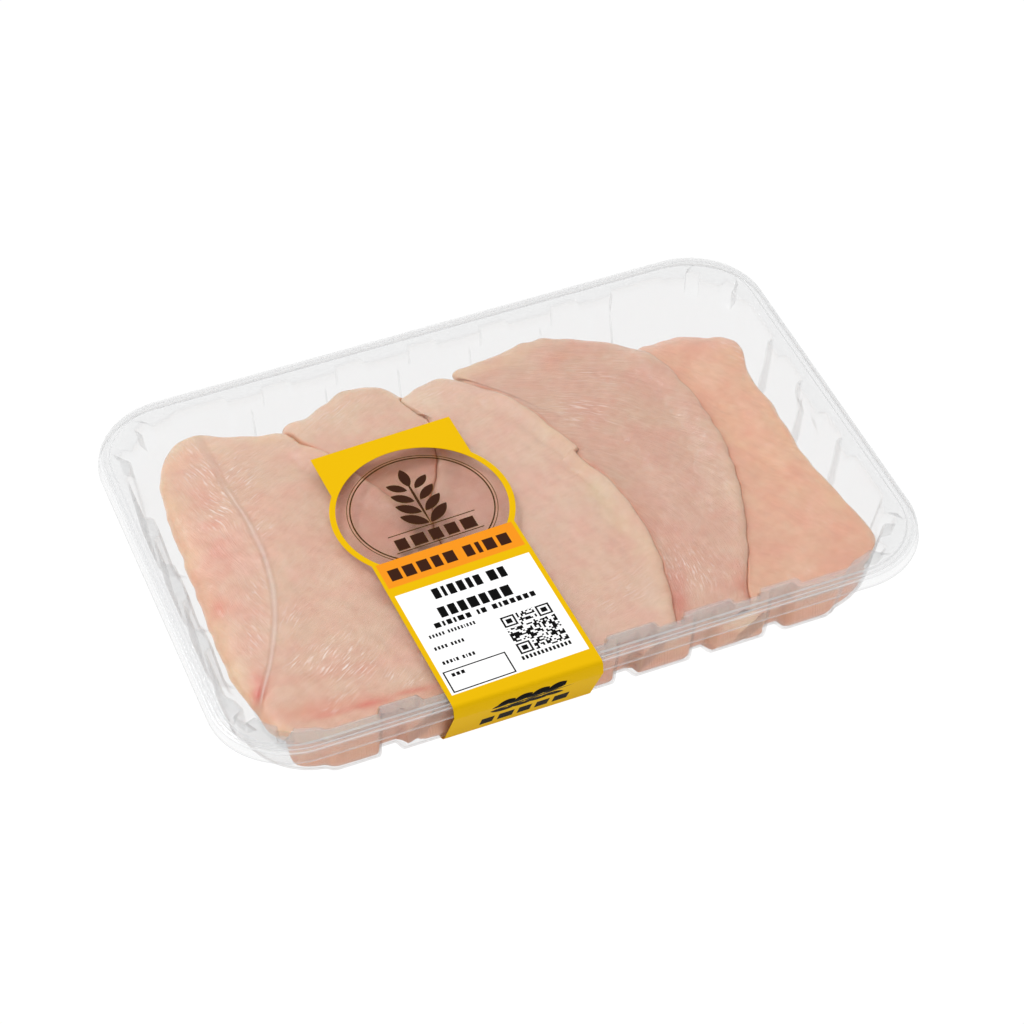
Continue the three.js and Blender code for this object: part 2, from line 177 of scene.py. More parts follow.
TOP_FILLETS = {
    "fillet_top_3": {
        "outline": [(-5, 68), (-15, 63.5), (-13.5, 54), (-11, 46), (-16, 24), (-27, 0), (-28, -40),
                    (-21, -92), (10, -97), (27, -90), (37, -60), (40, -38), (38, -12), (34, 0),
                    (31.4, 8), (33.6, 11), (30, 22), (24, 40), (14, 59), (3, 69)],
        "middle": 26.6, "lean": (0.035, 0), "thick": 9.5, "sag": 1,
    },
    "fillet_top_1": {
        "outline": [(-61, 65), (-71, 68), (-82, 73), (-93, 77), (-103, 72), (-110, 58), (-113.5, 38),
                    (-115, 4), (-117, -38), (-114, -60), (-105, -92), (-60, -98), (-22, -95), (-16, -50),
                    (-24, -8), (-37, 14), (-46, 34), (-55, 52)],
        "middle": 26, "lean": (0.02, -0.01), "thick": 10.5, "sag": 1.5,
    },
    "fillet_top_4": {
        "outline": [(9.5, 73.5), (8.5, 70), (10, 67), (5, 58), (4, 36), (8, -10), (14, -50), (24, -96),
                    (52, -95), (62, -72), (70, -56), (78, -34), (84, -8), (84, 24), (79, 46), (72, 58),
                    (61, 67), (50, 74), (41, 77), (32, 76), (20, 74.5)],
        "middle": 25, "lean": (0.045, 0), "thick": 10, "sag": 1,
    },
    "fillet_top_2": {
        "outline": [(-61, 66), (-66, 30), (-60, -20), (-36, -48), (-12, -40), (-2, 10), (-6, 50),
                    (-16, 71), (-24, 77), (-34, 78), (-49, 71)],
        "middle": 23.8, "lean": (0, 0.02), "thick": 10, "sag": 2,
    },
    "fillet_top_5": {
        "outline": [(72, 55), (62, 30), (52, -10), (50, -60), (68, -95), (105, -93), (115, -67),
                    (113.5, -48), (110, -20), (111, 10), (110, 26), (114, 44), (111, 52), (104, 54),
                    (97, 58), (87, 59)],
        "middle": 23.4, "lean": (0.01, -0.01), "thick": 10.5, "sag": 1.5,
    },
}
LOW_OUTLINE = [(0, 62), (-20, 40), (-27, -10), (-22, -60), (-20, -92), (25, -92), (30, -40), (27, 20),
               (15, 60)]
LOW_SHAPE = {"lean": (0.04, -0.02), "thick": 20, "sag": 2}
LOW_COUNT = 5
LOW_FIRST_X = -84
LOW_STEP = 41
LOW_MIDDLE = 13.2
LOW_MIDDLE_STEP = -1.1

# Fine form of the meat: relief in millimetres and the size of its unevenness
RELIEF = 0.42
RELIEF_SIZE = 24.0
FINE_RELIEF = 0.1
FINE_RELIEF_SIZE = 6.0
RAGGED = 0.35
RAGGED_SIZE = 9.0

# How far the fibres wander, and over what length
FIBRE_WAVE = 0.8
FIBRE_WAVE_SIZE = 26.0
FIBRE_BOW = 3.0
# Millimetres along an arched fibre for one radian
ARCH_LENGTH = 80.0
# How strongly fibres show on each fillet, where it isn't the usual
FIBRE_CONTRAST = {"fillet_top_4": 1.0, "fillet_top_1": 0.7, "fillet_top_3": 0.35, "fillet_top_5": 0.3}
USUAL_CONTRAST = 0.45
LOW_CONTRAST = 0.5
# Rings over and under a fillet, and points in each
TOP_ROWS = (110, 30)
LOW_ROWS = (40, 30)
TOP_COLUMNS = 480
LOW_COLUMNS = 240

# The white tendon of the left fillet: its X at each Y, and how wide it is there
TENDON_Y = (-60, -51, -41, -26, -8, 2, 9, 18, 30, 40)
TENDON_X = (-112, -107, -101, -95, -90, -88.7, -88.3, -88.5, -89, -90)
TENDON_WIDTH = (0.3, 0.6, 0.7, 0.8, 0.7, 0.6, 0.7, 0.5, 0.4, 0.3)
TENDON_CURVE = np.polyfit(TENDON_Y, TENDON_X, 4)

# Camera, as fitted to the photograph
CAMERA_PLACE = (-281.8, -721.9, 809.5)
CAMERA_AZIMUTH = 21.55
CAMERA_ELEVATION = 45.47
CAMERA_ROLL = -0.76
CAMERA_LENS = 108.39
CAMERA_SENSOR = 36.0
CAMERA_REACH = 20.0

# Studio, in metres
FLOOR_REACH = 6.0
LAMP_PLACE = (-0.45, 0.6, 1.05)
LAMP_SIZE = 0.38


def smooth(start, end, value):
    """Eased step: 0 before start, 1 past end, and 3t^2 - 2t^3 between."""
    t = np.clip((value - start) / (end - start), 0, 1)
    return t * t * (3 - 2 * t)


def mix(a, b, share):
    """Straight blend of a and b."""
    return a + (b - a) * share


def soft_min(a, b, width):
    """The lower of a and b, with the corner between them rounded over about the given width."""
    return 0.5 * (a + b - np.sqrt((a - b) ** 2 + width ** 2))


def unevenness(x, y, size, seed, waves=9):
    """Smooth uneven field, about -1 to 1: a sum of sine waves of about one length, turned at random."""
    random = np.random.default_rng(seed)
    total = np.zeros(np.broadcast(x, y).shape)
    for _ in range(waves):
        angle, phase = random.uniform(0, 2 * math.pi, 2)
        length = size * random.uniform(0.7, 1.7)
        total += np.sin((x * math.cos(angle) + y * math.sin(angle)) * 2 * math.pi / length + phase)
    return total / math.sqrt(waves)


def linear(red, green, blue):
    """Linear colour of an sRGB one given in 0 to 255."""
    values = np.array([red, green, blue]) / 255
    return np.where(values <= 0.04045, values / 12.92, ((values + 0.055) / 1.055) ** 2.4)


def closed_surface(name, rings, first_pole=None, last_pole=None):
    """Object whose skin joins rows of points, each row a closed ring, with a fan at each end.

    rings is rows by columns by XYZ in millimetres. The columns run anticlockwise seen from above and
    the rows start underneath, run up the outside and end on top, so that the faces point outwards."""
    rows, columns = rings.shape[:2]
    first_pole = rings[0].mean(0) if first_pole is None else first_pole
    last_pole = rings[-1].mean(0) if last_pole is None else last_pole
    points = np.concatenate([rings.reshape(-1, 3), [first_pole, last_pole]]) * MM
    index = np.arange(rows * columns).reshape(rows, columns)
    ahead = np.roll(index, -1, axis=1)
    quads = np.stack([index[:-1], ahead[:-1], ahead[1:], index[1:]], axis=-1).reshape(-1, 4)
    first = np.full(columns, rows * columns)
    fans = np.concatenate([
        np.stack([first, ahead[0], index[0]], axis=-1),
        np.stack([first + 1, index[-1], ahead[-1]], axis=-1),
    ])
    mesh = bpy.data.meshes.new(name)
    mesh.from_pydata(points.tolist(), [], quads.tolist() + fans.tolist())
    mesh.shade_smooth()
    piece = bpy.data.objects.new(name, mesh)
    bpy.context.scene.collection.objects.link(piece)
    return piece


def add_uv(piece, name, per_point):
    """UV map on a piece from two numbers at each of its points."""
    mesh = piece.data
    corners = np.zeros(len(mesh.loops), int)
    mesh.loops.foreach_get("vertex_index", corners)
    layer = mesh.uv_layers.new(name=name)
    layer.data.foreach_set("uv", per_point[corners].astype(np.float32).ravel())


def add_colour(piece, name, per_point):
    """Colour attribute on a piece from a linear colour at each of its points."""
    layer = piece.data.color_attributes.new(name=name, type="FLOAT_COLOR", domain="POINT")
    opaque = np.concatenate([per_point, np.ones((len(per_point), 1))], axis=1)
    layer.data.foreach_set("color", opaque.astype(np.float32).ravel())


def add_amount(piece, name, per_point):
    """Number attribute on a piece, one number at each of its points."""
    layer = piece.data.attributes.new(name=name, type="FLOAT", domain="POINT")
    layer.data.foreach_set("value", per_point.astype(np.float32))


def finish_piece(piece, material, node):
    """Gives a piece its material, makes it ride on the one body and stand for its frame node."""
    piece.data.materials.append(material)
    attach(piece, "root")
    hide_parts(node)


# Node helpers


class Nodes:
    """A material's node tree, with short calls to add nodes and join them."""

    def __init__(self, name):
        self.material = bpy.data.materials.new(name)
        self.material.use_nodes = True
        self.tree = self.material.node_tree
        self.tree.nodes.clear()

    def add(self, kind, inputs=None, **settings):
        node = self.tree.nodes.new(kind)
        for key, value in settings.items():
            setattr(node, key, value)
        for key, value in (inputs or {}).items():
            self.feed(node.inputs[key], value)
        return node

    def feed(self, socket, value):
        if isinstance(value, bpy.types.NodeSocket):
            self.tree.links.new(value, socket)
        else:
            socket.default_value = value

    def math(self, operation, *values, clamp=False):
        node = self.add("ShaderNodeMath", operation=operation, use_clamp=clamp)
        for socket, value in zip(node.inputs, values):
            self.feed(socket, value)
        return node.outputs[0]

    def plus(self, a, b, clamp=False):
        return self.math("ADD", a, b, clamp=clamp)

    def minus(self, a, b):
        return self.math("SUBTRACT", a, b)

    def times(self, a, b, clamp=False):
        return self.math("MULTIPLY", a, b, clamp=clamp)

    def larger(self, a, b):
        return self.math("MAXIMUM", a, b)

    def size_of(self, a):
        return self.math("ABSOLUTE", a)

    def blend(self, share, a, b, kind="MIX"):
        node = self.add("ShaderNodeMix", data_type="RGBA", blend_type=kind)
        self.feed(node.inputs["Factor"], share)
        self.feed(node.inputs["A"], opaque(a))
        self.feed(node.inputs["B"], opaque(b))
        return node.outputs["Result"]

    def ramp(self, value, low, high, to_low=0.0, to_high=1.0):
        node = self.add("ShaderNodeMapRange", clamp=True)
        for key, number in zip(("Value", "From Min", "From Max", "To Min", "To Max"),
                               (value, low, high, to_low, to_high)):
            self.feed(node.inputs[key], number)
        return node.outputs["Result"]

    def mixed(self, share, first, second):
        """The material that mixes the shaders of two nodes."""
        inputs = {0: share, 1: first.outputs[0], 2: second.outputs[0]}
        return self.output(self.add("ShaderNodeMixShader", inputs=inputs).outputs[0])

    def output(self, shader):
        end = self.add("ShaderNodeOutputMaterial")
        self.tree.links.new(shader, end.inputs["Surface"])
        return self.material


def opaque(value):
    """A colour with its alpha of 1, or the socket or number as it is."""
    if isinstance(value, bpy.types.NodeSocket):
        return value
    return (*value[:3], 1.0)


# Tray shapes


def tray_stations():
    """Places round the tray, in order: three or six ribs' flanks on each side, then the corner's arc.

    Each place has its side or corner, whether it is on a corner, its rib's middle, the side of that rib
    that it is on, the flank's reach at the flange and below, its step past that, or its angle round the
    corner, and how much of the corner's panel and of a lug it carries."""
    places = []
    for turn in range(4):
        tops = rib_tops(turn)
        for rib, (before, after) in enumerate(tops):
            middle = (rib - (len(tops) - 1) / 2) * RIB_PITCH
            places += [(turn, 0, middle, -1, top, core, step, 0, 0, 0)
                       for top, core in flank_kinds(before)[::-1] for step in FLANK_STEPS[::-1]]
            places += [(turn, 0, middle, 1, top, core, step, 0, 0, 0)
                       for top, core in flank_kinds(after) for step in FLANK_STEPS]
        for angle in corner_angles(turn):
            seen = 90 - angle if turn % 2 else angle
            panel = smooth(0, CORNER_EASE, seen) * smooth(0, CORNER_EASE, 90 - seen)
            lug = max(lug_share(seen, start) for start in LUG_STARTS)
            places.append((turn, 1, 0, 0, 0, 0, 0, math.radians(angle), panel, lug))
    names = ("turn", "corner", "middle", "sign", "top", "core", "step", "angle", "panel", "lug")
    return dict(zip(names, np.array(places, float).T))


def rib_tops(turn):
    """The table of a side: the short sides are the even turns."""
    return RIB_TOPS_SHORT if turn % 2 == 0 else RIB_TOPS_LONG


def flank_kinds(top):
    """A rib side's flanks from the middle outwards, each its reach at the flange and below the neck."""
    if top < SHOULDER_LEAST:
        return [(top, RIB_HALF_LOW)]
    return [(RIB_HALF_LOW, RIB_HALF_LOW), (top, top)]


def corner_angles(turn):
    """Angles round a corner: even steps, with more at the lugs' edges; odd corners are mirrored."""
    angles = set(np.arange(0, 90 + CORNER_STEP / 2, CORNER_STEP))
    for start in LUG_STARTS:
        angles |= {start + step for step in LUG_EDGE_STEPS}
        angles |= {start + LUG_SWEEP - step for step in LUG_EDGE_STEPS}
    return sorted(90 - angle if turn % 2 else angle for angle in angles)


def lug_share(angle, start):
    """How much of a lug is at an angle: eased up over its first edge and down over its last."""
    before, past = LUG_EASE
    end = start + LUG_SWEEP
    up = smooth(start - before, start + past, angle)
    return float(up * (1 - smooth(end - past, end + before, angle)))


STATIONS = tray_stations()


def flank_share(step):
    """How much of a rib is left at a step past its edge: a straight slope with rounded ends."""
    turns = (-FLANK_ROUND, 0, FLANK_ROUND)
    return 1 - sum(np.clip((step - FLANK_FROM + turn) / FLANK_WIDTH, 0, 1) for turn in turns) / len(turns)


def rib_relief(along, depth, tops, out=0.0):
    """How far the ribs stand into the tray at a place along a side and a depth: the deeper of the
    core, which grows from 2.8 to 5 mm, and of the shoulder, which fades from 2.8 mm to nothing."""
    last = len(tops) - 1
    nearest = np.clip(np.round(along / RIB_PITCH + last / 2), 0, last).astype(int)
    offset = along - (nearest - last / 2) * RIB_PITCH
    top = np.where(offset > 0, tops[nearest, 1], tops[nearest, 0])
    away = np.abs(offset) + out * FLANK_SHARE
    narrow = top < SHOULDER_LEAST
    core = np.where(narrow, mix(top, RIB_HALF_LOW, smooth(0, RIB_NECK, depth)), RIB_HALF_LOW)
    core_inset = mix(RIB_DEPTH_TOP, RIB_DEPTH_LOW, depth / TRAY_HEIGHT) * flank_share(away - core)
    shoulder_inset = RIB_DEPTH_TOP * (1 - smooth(*SHOULDER_FADE, depth)) * flank_share(away - top)
    return np.where(narrow, core_inset, np.maximum(core_inset, shoulder_inset))


def outline_ring(halves, radius, z, share=0.0, depth=0.0, out=0.0):
    """Rounded rectangle through the stations, with the wall's relief in the given share.

    On a side, X or Y is the half size less the rib, and the place along it follows the rib's width at
    that depth. On a corner, the radius is less the panel and more the lug."""
    s = STATIONS
    lug = s["lug"] * (1 - smooth(LUG_DEPTH - 0.3, RIB_NECK, depth))
    panel = s["panel"] * CORNER_INSET * (1 - lug) - lug * LUG_OUT
    reach = mix(s["top"], s["core"], smooth(0, RIB_NECK, depth))
    along = s["middle"] + s["sign"] * (reach + s["step"] - out * FLANK_SHARE)
    short = s["turn"] % 2 == 0
    ribs = np.where(short, rib_relief(along, depth, RIB_TOPS_SHORT, out),
                    rib_relief(along, depth, RIB_TOPS_LONG, out))
    inset = np.where(s["corner"] > 0, panel, ribs) * share
    x, y = halves[0] - inset, halves[1] - inset
    turn = s["turn"].astype(int)
    side_x = np.choose(turn, [x, -along, -x, along])
    side_y = np.choose(turn, [along, y, -along, -y])
    angle = s["turn"] * math.pi / 2 + s["angle"]
    sign_x = np.where((turn == 0) | (turn == 3), 1, -1)
    sign_y = np.where(turn < 2, 1, -1)
    arc_x = sign_x * (halves[0] - radius) + (radius - inset) * np.cos(angle)
    arc_y = sign_y * (halves[1] - radius) + (radius - inset) * np.sin(angle)
    corner = s["corner"] > 0
    flat = np.stack([np.where(corner, arc_x, side_x), np.where(corner, arc_y, side_y)], axis=-1)
    return np.concatenate([flat, np.broadcast_to(z, (len(flat), 1))], axis=1)


def wall_halves(depth, out):
    """Half sizes of the wall at a depth, a distance out of its inner face."""
    return RIM_HALVES - FLANGE_WIDTH - DRAFT * depth + out


def foot_share(degrees, start):
    """How much of the ribs and panels is left at an angle round the foot's arc, which begins at start."""
    return np.interp(degrees, (math.degrees(start), *FOOT_CURVE_DEGREES), (1, *FOOT_CURVE_SHARES))


def rim_ring(inset, z):
    """Ring of the flange: the tray's outline, set in by a distance."""
    return outline_ring(RIM_HALVES - inset, CORNER_RADIUS - inset, z)


def wall_rings(out, round_radius):
    """Rings from the mouth's rounded edge down the wall, round the foot and over the base.

    The edge is a quarter circle, the wall straight with its draft, the foot an arc that eases the ribs
    away, and the base a flat ring round a panel that rises by an eased step."""
    rings = []
    for angle in np.radians(np.linspace(0, 90, 6)):
        away = MOUTH_ROUND - round_radius * math.sin(angle)
        z = TRAY_HEIGHT - MOUTH_ROUND + round_radius * math.cos(angle)
        depth = TRAY_HEIGHT - z
        spread = out + away - (MOUTH_ROUND - round_radius)
        rings.append(outline_ring(wall_halves(depth, spread), MOUTH_RADIUS + spread, z, 1, depth, out))
    radius = BASE_RADIUS - OUTSIDE + out
    start = math.atan(DRAFT[1])
    foot_depth = TRAY_HEIGHT - BASE_RADIUS + radius * math.sin(start)
    for depth in (*WALL_DEPTHS, foot_depth):
        z = TRAY_HEIGHT - depth
        rings.append(outline_ring(wall_halves(depth, out), MOUTH_RADIUS + out, z, 1, depth, out))
    for degrees in np.linspace(math.degrees(start), 90, 11)[1:]:
        angle = math.radians(degrees)
        inset = radius * (math.cos(start) - math.cos(angle))
        share = foot_share(degrees, start)
        corner = MOUTH_RADIUS + out - inset * FOOT_CORNER_SHARE
        z = BASE_RADIUS - radius * math.sin(angle)
        rings.append(outline_ring(wall_halves(foot_depth, out - inset), corner, z, share, foot_depth, out))
    for along in np.linspace(0, 1, 7):
        inset = radius * math.cos(start) + FOOT_RING + PANEL_SLOPE * along
        z = BASE_RADIUS - radius + PANEL_RISE * smooth(0, 1, along)
        rings.append(outline_ring(wall_halves(foot_depth, out - inset), MOUTH_RADIUS - BASE_RADIUS, z))
    return rings


def flange_rings(sheet):
    """Rings of the flange from the skirt's inside, down to its lip, up the outside and over the land.

    Returns each ring with how milky the sheet is there; the extra milk on the skirt's lip, the rounded
    edge, the bead and the step paints highlight lines."""
    top = TRAY_HEIGHT
    edge = top - STEP_DROP
    low = top - SKIRT_DEPTH
    # The skirt's lip gets more milk than the sheet round it, as a painted highlight line
    rings = [
        (LAND_INSET + sheet, top - sheet, MILK_INSIDE), (STEP_INSET + sheet, edge - sheet, MILK_INSIDE),
        (EDGE_ROUND + sheet, edge - sheet, MILK_INSIDE), (sheet, edge - EDGE_ROUND, 0.05),
        (sheet - SKIRT_FLARE, low, 0.05), (sheet / 2 - SKIRT_FLARE, low, 0.5),
        (-SKIRT_FLARE, low + 0.15, 0.9), (-SKIRT_FLARE + SKIRT_LIP, low + 0.6, 0.5),
        (-SKIRT_FLARE * 0.75 + SKIRT_LIP * 0.5, low + 1.3, 0.05), (-SKIRT_FLARE * 0.4, low + 2.4, 0.05),
    ]
    # The rounded edge gets extra milk as a painted highlight line
    for angle in np.radians(np.linspace(0, 90, 6)):
        milk_and_highlight = MILK_INSIDE + PAINTED_HIGHLIGHT_EDGE * math.sin(angle) ** 2
        rings.append((EDGE_ROUND * (1 - math.cos(angle)), edge - EDGE_ROUND * (1 - math.sin(angle)), milk_and_highlight))
    rings.append((EDGE_ROUND + 0.25, edge, MILK_TOP))
    # The bead's crest gets extra milk as a painted highlight line
    for step, lift in ((-0.55, 0), (-0.25, 0.5), (0, 1), (0.25, 0.5), (0.55, 0)):
        rings.append((BEAD_INSET + step, edge + BEAD_HEIGHT * lift, MILK_TOP + PAINTED_HIGHLIGHT_BEAD * lift))
    rings.append((STEP_INSET - 0.4, edge, MILK_TOP))
    # The step gets extra milk as a painted highlight line
    for share in (0, 0.25, 0.5, 0.75, 1):
        inset = mix(STEP_INSET - 0.1, LAND_INSET + 0.1, share)
        milk_and_highlight = MILK_AND_HIGHLIGHT_STEP if 0 < share < 1 else MILK_TOP
        rings.append((inset, edge + STEP_DROP * smooth(0, 1, share), milk_and_highlight))
    rings.append((LAND_INSET + 0.6, top, 0.35))
    return [(rim_ring(inset, z), milk_and_highlight) for inset, z, milk_and_highlight in rings]


def build_tray(sheet):
    """The tray as one closed sheet: the outside from the base up, the flange, and the inside down."""
    inside = wall_rings(OUTSIDE - sheet, MOUTH_ROUND)
    outside = wall_rings(OUTSIDE, MOUTH_ROUND - sheet)[::-1]
    flange = flange_rings(sheet)
    rings = outside + [ring for ring, _ in flange] + inside
    wall_milk = np.interp(np.arange(len(inside)), MILK_WALL_RINGS, MILK_WALL)
    # The milk numbers hold the flange's milkiness and also its painted highlight lines
    milk_and_highlight = np.concatenate([wall_milk[::-1], [milk_and_highlight for _, milk_and_highlight in flange], wall_milk])
    tray = closed_surface("clear_tray", np.array(rings))
    per_point = np.repeat(milk_and_highlight, len(STATIONS["turn"]))
    add_amount(tray, "milk_and_highlight", np.concatenate([per_point, milk_and_highlight[[0, -1]]]))
    tray.data.set_sharp_from_angle(angle=math.radians(SHARP_DEGREES))
    return tray


def build_film():
    """The lid film: a thin rounded plate over the flange, hanging a little in the middle, with ripples.

    Its rings are the film's outline shrunk towards the middle, first under and then on top."""
    outline = rim_ring(RIM_HALVES[0] - FILM_HIGH[0], 0.0)
    shares = np.linspace(0.03, 1, 40)
    rings = []
    for face, scales in ((0, shares), (1, shares[::-1])):
        for scale in scales:
            ring = outline * scale
            uneven = unevenness(ring[:, 0], ring[:, 1], FILM_RIPPLE_SIZE, FILM_SEED)
            ripple = uneven * FILM_RIPPLE * (1 - scale ** 8)
            ring[:, 2] = FILM_LOW[2] + FILM_GAP + FILM_SHEET * face - FILM_SAG * (1 - scale ** 4) + ripple
            rings.append(ring)
    return closed_surface("film_lid", np.array(rings))


# Label shapes


def label_path():
    """Middle line of the fold in the Y-Z plane: over the edge, down to the base's round and round it.

    Returns points and the outward direction at each."""
    lift = LABEL_HIGH[2] - LABEL_CORE
    edge = -LABEL_LOW[1] - LABEL_CORE
    reach = BASE_RADIUS + LABEL_FOOT_GAP
    wall_y = wall_halves(TRAY_HEIGHT - BASE_RADIUS, OUTSIDE)[1]
    foot_y = wall_y - BASE_RADIUS * math.cos(math.atan(DRAFT[1]))
    bend = np.radians(np.linspace(0, 90, 10))
    foot = np.radians(np.linspace(30, 60, 7))
    over = np.stack([edge - LABEL_BEND * (1 - np.sin(bend)),
                     lift - LABEL_BEND * (1 - np.cos(bend))], axis=-1)
    under = np.stack([foot_y + reach * np.cos(foot), BASE_RADIUS - reach * np.sin(foot)], axis=-1)
    skirt_low = np.array([[edge, TRAY_HEIGHT - SKIRT_DEPTH]])
    straight = mix(skirt_low, under[:1], np.linspace(0.08, 0.95, 12)[:, None])
    tuck_in, tuck_down = LABEL_TUCK
    last = [[under[-1, 0] - tuck_in, max(under[-1, 1] - tuck_down, 2 * LABEL_CORE)]]
    path = np.concatenate([over, skirt_low, straight, under, last])
    path[:, 0] *= -1
    tangent = np.gradient(path, axis=0)
    tangent[0] = (-1, 0)
    tangent /= np.linalg.norm(tangent, axis=1, keepdims=True)
    return path, np.stack([tangent[:, 1], -tangent[:, 0]], axis=-1)


def build_label():
    """The label: a strip with a round bulge, flat on the film, then folded down over the near edge.

    A ring goes across its top from right to left and back across its underside; the rows run along it.
    The print reads the distance across and along the strip, from the round window, in millimetres."""
    path, outward = label_path()
    cos, sin = math.cos(LABEL_TURN), math.sin(LABEL_TURN)
    across = np.linspace(1, -1, 25)
    ring_end = math.acos(LABEL_HALF_WIDTH / LABEL_RING)
    round_rows = LABEL_RING * np.sin(np.linspace(ring_end, -ring_end, 41))
    rows = np.concatenate([np.linspace(LABEL_TOP, round_rows[0], 12)[:-1], round_rows])
    half = np.maximum(LABEL_HALF_WIDTH, np.sqrt(np.maximum(LABEL_RING ** 2 - rows ** 2, 0)))
    x_local = half[:, None] * across
    y_local = np.repeat(rows[:, None], len(across), axis=1)
    x = LABEL_CENTRE[0] + x_local * cos - y_local * sin
    y = LABEL_CENTRE[1] + x_local * sin + y_local * cos
    flat_line = np.stack([x, y, np.full_like(x, path[0, 1])], axis=-1)
    normals = np.tile((0.0, 0.0, 1.0), (len(rows), 1))
    run = np.concatenate([[0], np.cumsum(np.linalg.norm(np.diff(path, axis=0), axis=1))])
    fold_x = np.repeat(LABEL_HALF_WIDTH * across[None, :], len(path), axis=0)
    fold_along = (path[0, 0] - LABEL_CENTRE[1] - fold_x * sin) / cos
    x = LABEL_CENTRE[0] + fold_x * cos - fold_along * sin + run[:, None] * math.tan(LABEL_TURN)
    side_line = np.stack([x, *(np.repeat(path[:, [k]], len(across), axis=1) for k in (0, 1))], axis=-1)
    middle = np.concatenate([flat_line, side_line])
    normals = np.concatenate([normals, np.concatenate([np.zeros((len(path), 1)), outward], axis=1)])
    lift = normals[:, None, :] * LABEL_SHEET / 2
    rings = np.concatenate([middle + lift, (middle - lift)[:, ::-1]], axis=1)
    label = closed_surface("folded_label", rings)
    u = np.concatenate([x_local, fold_x])
    v = np.concatenate([y_local, fold_along - run[:, None] / cos])
    flat_uv = np.stack([np.concatenate([k, k[:, ::-1]], axis=1) for k in (u, v)], axis=-1)
    ends = [(0, LABEL_TOP), (0, v[-1].mean())]
    add_uv(label, "print", np.concatenate([flat_uv.reshape(-1, 2), ends]))
    label.data.set_sharp_from_angle(angle=math.radians(SHARP_DEGREES))
    return label


# Meat shapes


def closed_curve(points, count):
    """Even places along the closed curve through the points, each stretch a cubic by its neighbours."""
    steps = np.linspace(0, 1, 40, endpoint=False)[:, None]
    pieces = []
    for index in range(len(points)):
        before, start, end, after = (points[(index + k) % len(points)] for k in (-1, 0, 1, 2))
        start_pull = OUTLINE_TENSION * (end - before)
        end_pull = OUTLINE_TENSION * (after - start)
        bend = 2 * start - 2 * end + start_pull + end_pull
        pull = 3 * (end - start) - 2 * start_pull - end_pull
        pieces.append(start + start_pull * steps + pull * steps ** 2 + bend * steps ** 3)
    curve = np.concatenate(pieces + [points[:1]])
    lengths = np.concatenate([[0], np.cumsum(np.linalg.norm(np.diff(curve, axis=0), axis=1))])
    places = np.linspace(0, lengths[-1], count, endpoint=False)
    return np.stack([np.interp(places, lengths, curve[:, axis]) for axis in (0, 1)], axis=-1)


class Fillet:
    """A flat rounded piece of meat: an outline in plan, a leaning middle surface and a thickness that
    falls to nothing at the outline as the root of 1 less the fifth power of the way out."""

    def __init__(self, name, outline, middle, lean, thick, sag, columns=TOP_COLUMNS):
        self.name = name
        self.seed = sum(map(ord, name))
        points = np.array(outline, float)
        self.centre = points.mean(0)
        self.middle, self.lean, self.thick, self.sag = middle, np.array(lean), thick, sag
        rim = closed_curve(points, columns)
        outward = rim - self.centre
        length = np.linalg.norm(outward, axis=1, keepdims=True)
        ragged = unevenness(rim[:, 0], rim[:, 1], RAGGED_SIZE, self.seed)[:, None] * RAGGED
        self.rim = self.centre + outward * (1 + ragged / length)
        outward = self.rim - self.centre
        angle = np.arctan2(outward[:, 1], outward[:, 0])
        order = np.argsort(angle)
        self.rim_angle = np.concatenate([angle[order] + 2 * math.pi * lap for lap in (-1, 0, 1)])
        self.rim_radius = np.tile(np.linalg.norm(outward, axis=1)[order], 3)

    def reach(self, x, y):
        """Share of the way from the centre to the outline, and the outline's distance that way."""
        dx, dy = x - self.centre[0], y - self.centre[1]
        radius = np.interp(np.arctan2(dy, dx), self.rim_angle, self.rim_radius)
        return np.hypot(dx, dy) / radius, radius

    def middle_height(self, x, y):
        """Height of the middle surface: its lean, less the far end's droop, plus a broad swell."""
        droop = self.sag * smooth(DROOP_FROM, DROOP_TO, y)
        swell = SWELL * np.sin(x / SWELL_ALONG) * np.cos(y / SWELL_ACROSS)
        lean = self.lean[0] * (x - self.centre[0]) + self.lean[1] * (y - self.centre[1])
        return self.middle + lean - droop + swell

    def edge_half(self, reach):
        """Half thickness at a share of the way out."""
        return self.thick / 2 * np.sqrt(np.maximum(1 - np.minimum(reach, 1) ** EDGE_POWER, 0))

    def rim_lift(self, x, y, reach):
        """Rise of the middle surface towards the rim, more where other pieces are next to it."""
        inland = (1 - smooth(*OUTER_X, np.abs(x))) * (1 - smooth(*OUTER_Y, y))
        return self.thick / 2 * mix(OUTER_RIM_LIFT, RIM_LIFT, inland) * smooth(RIM_LIFT_FROM, 1, reach)

    def room_under(self, x, y):
        """Highest that a piece under this one may stand: its underside, then up round its edge, then a
        slope. Also returns the distance past its edge."""
        reach, radius = self.reach(x, y)
        beyond = np.maximum(reach - 1, 0) * radius
        under = self.middle_height(x, y) + self.rim_lift(x, y, reach) - self.edge_half(reach) - MEAT_GAP
        room = under + LIP_RISE * (1 - np.exp(-beyond / LIP_ROUND)) + LIP_SLOPE * beyond
        return np.where(beyond > LIP_REACH, np.inf, room), beyond


def fillet_rows(over, under):
    """Shares of the way out for a fillet's rings, close together near the edge, and each ring's face."""
    below = np.sin(np.linspace(0.02, 1, under, endpoint=False) * math.pi / 2)
    above = np.sin(np.linspace(1, 0.01, over) * math.pi / 2)
    return np.concatenate([below, above]), np.concatenate([-np.ones(under), np.ones(over)])


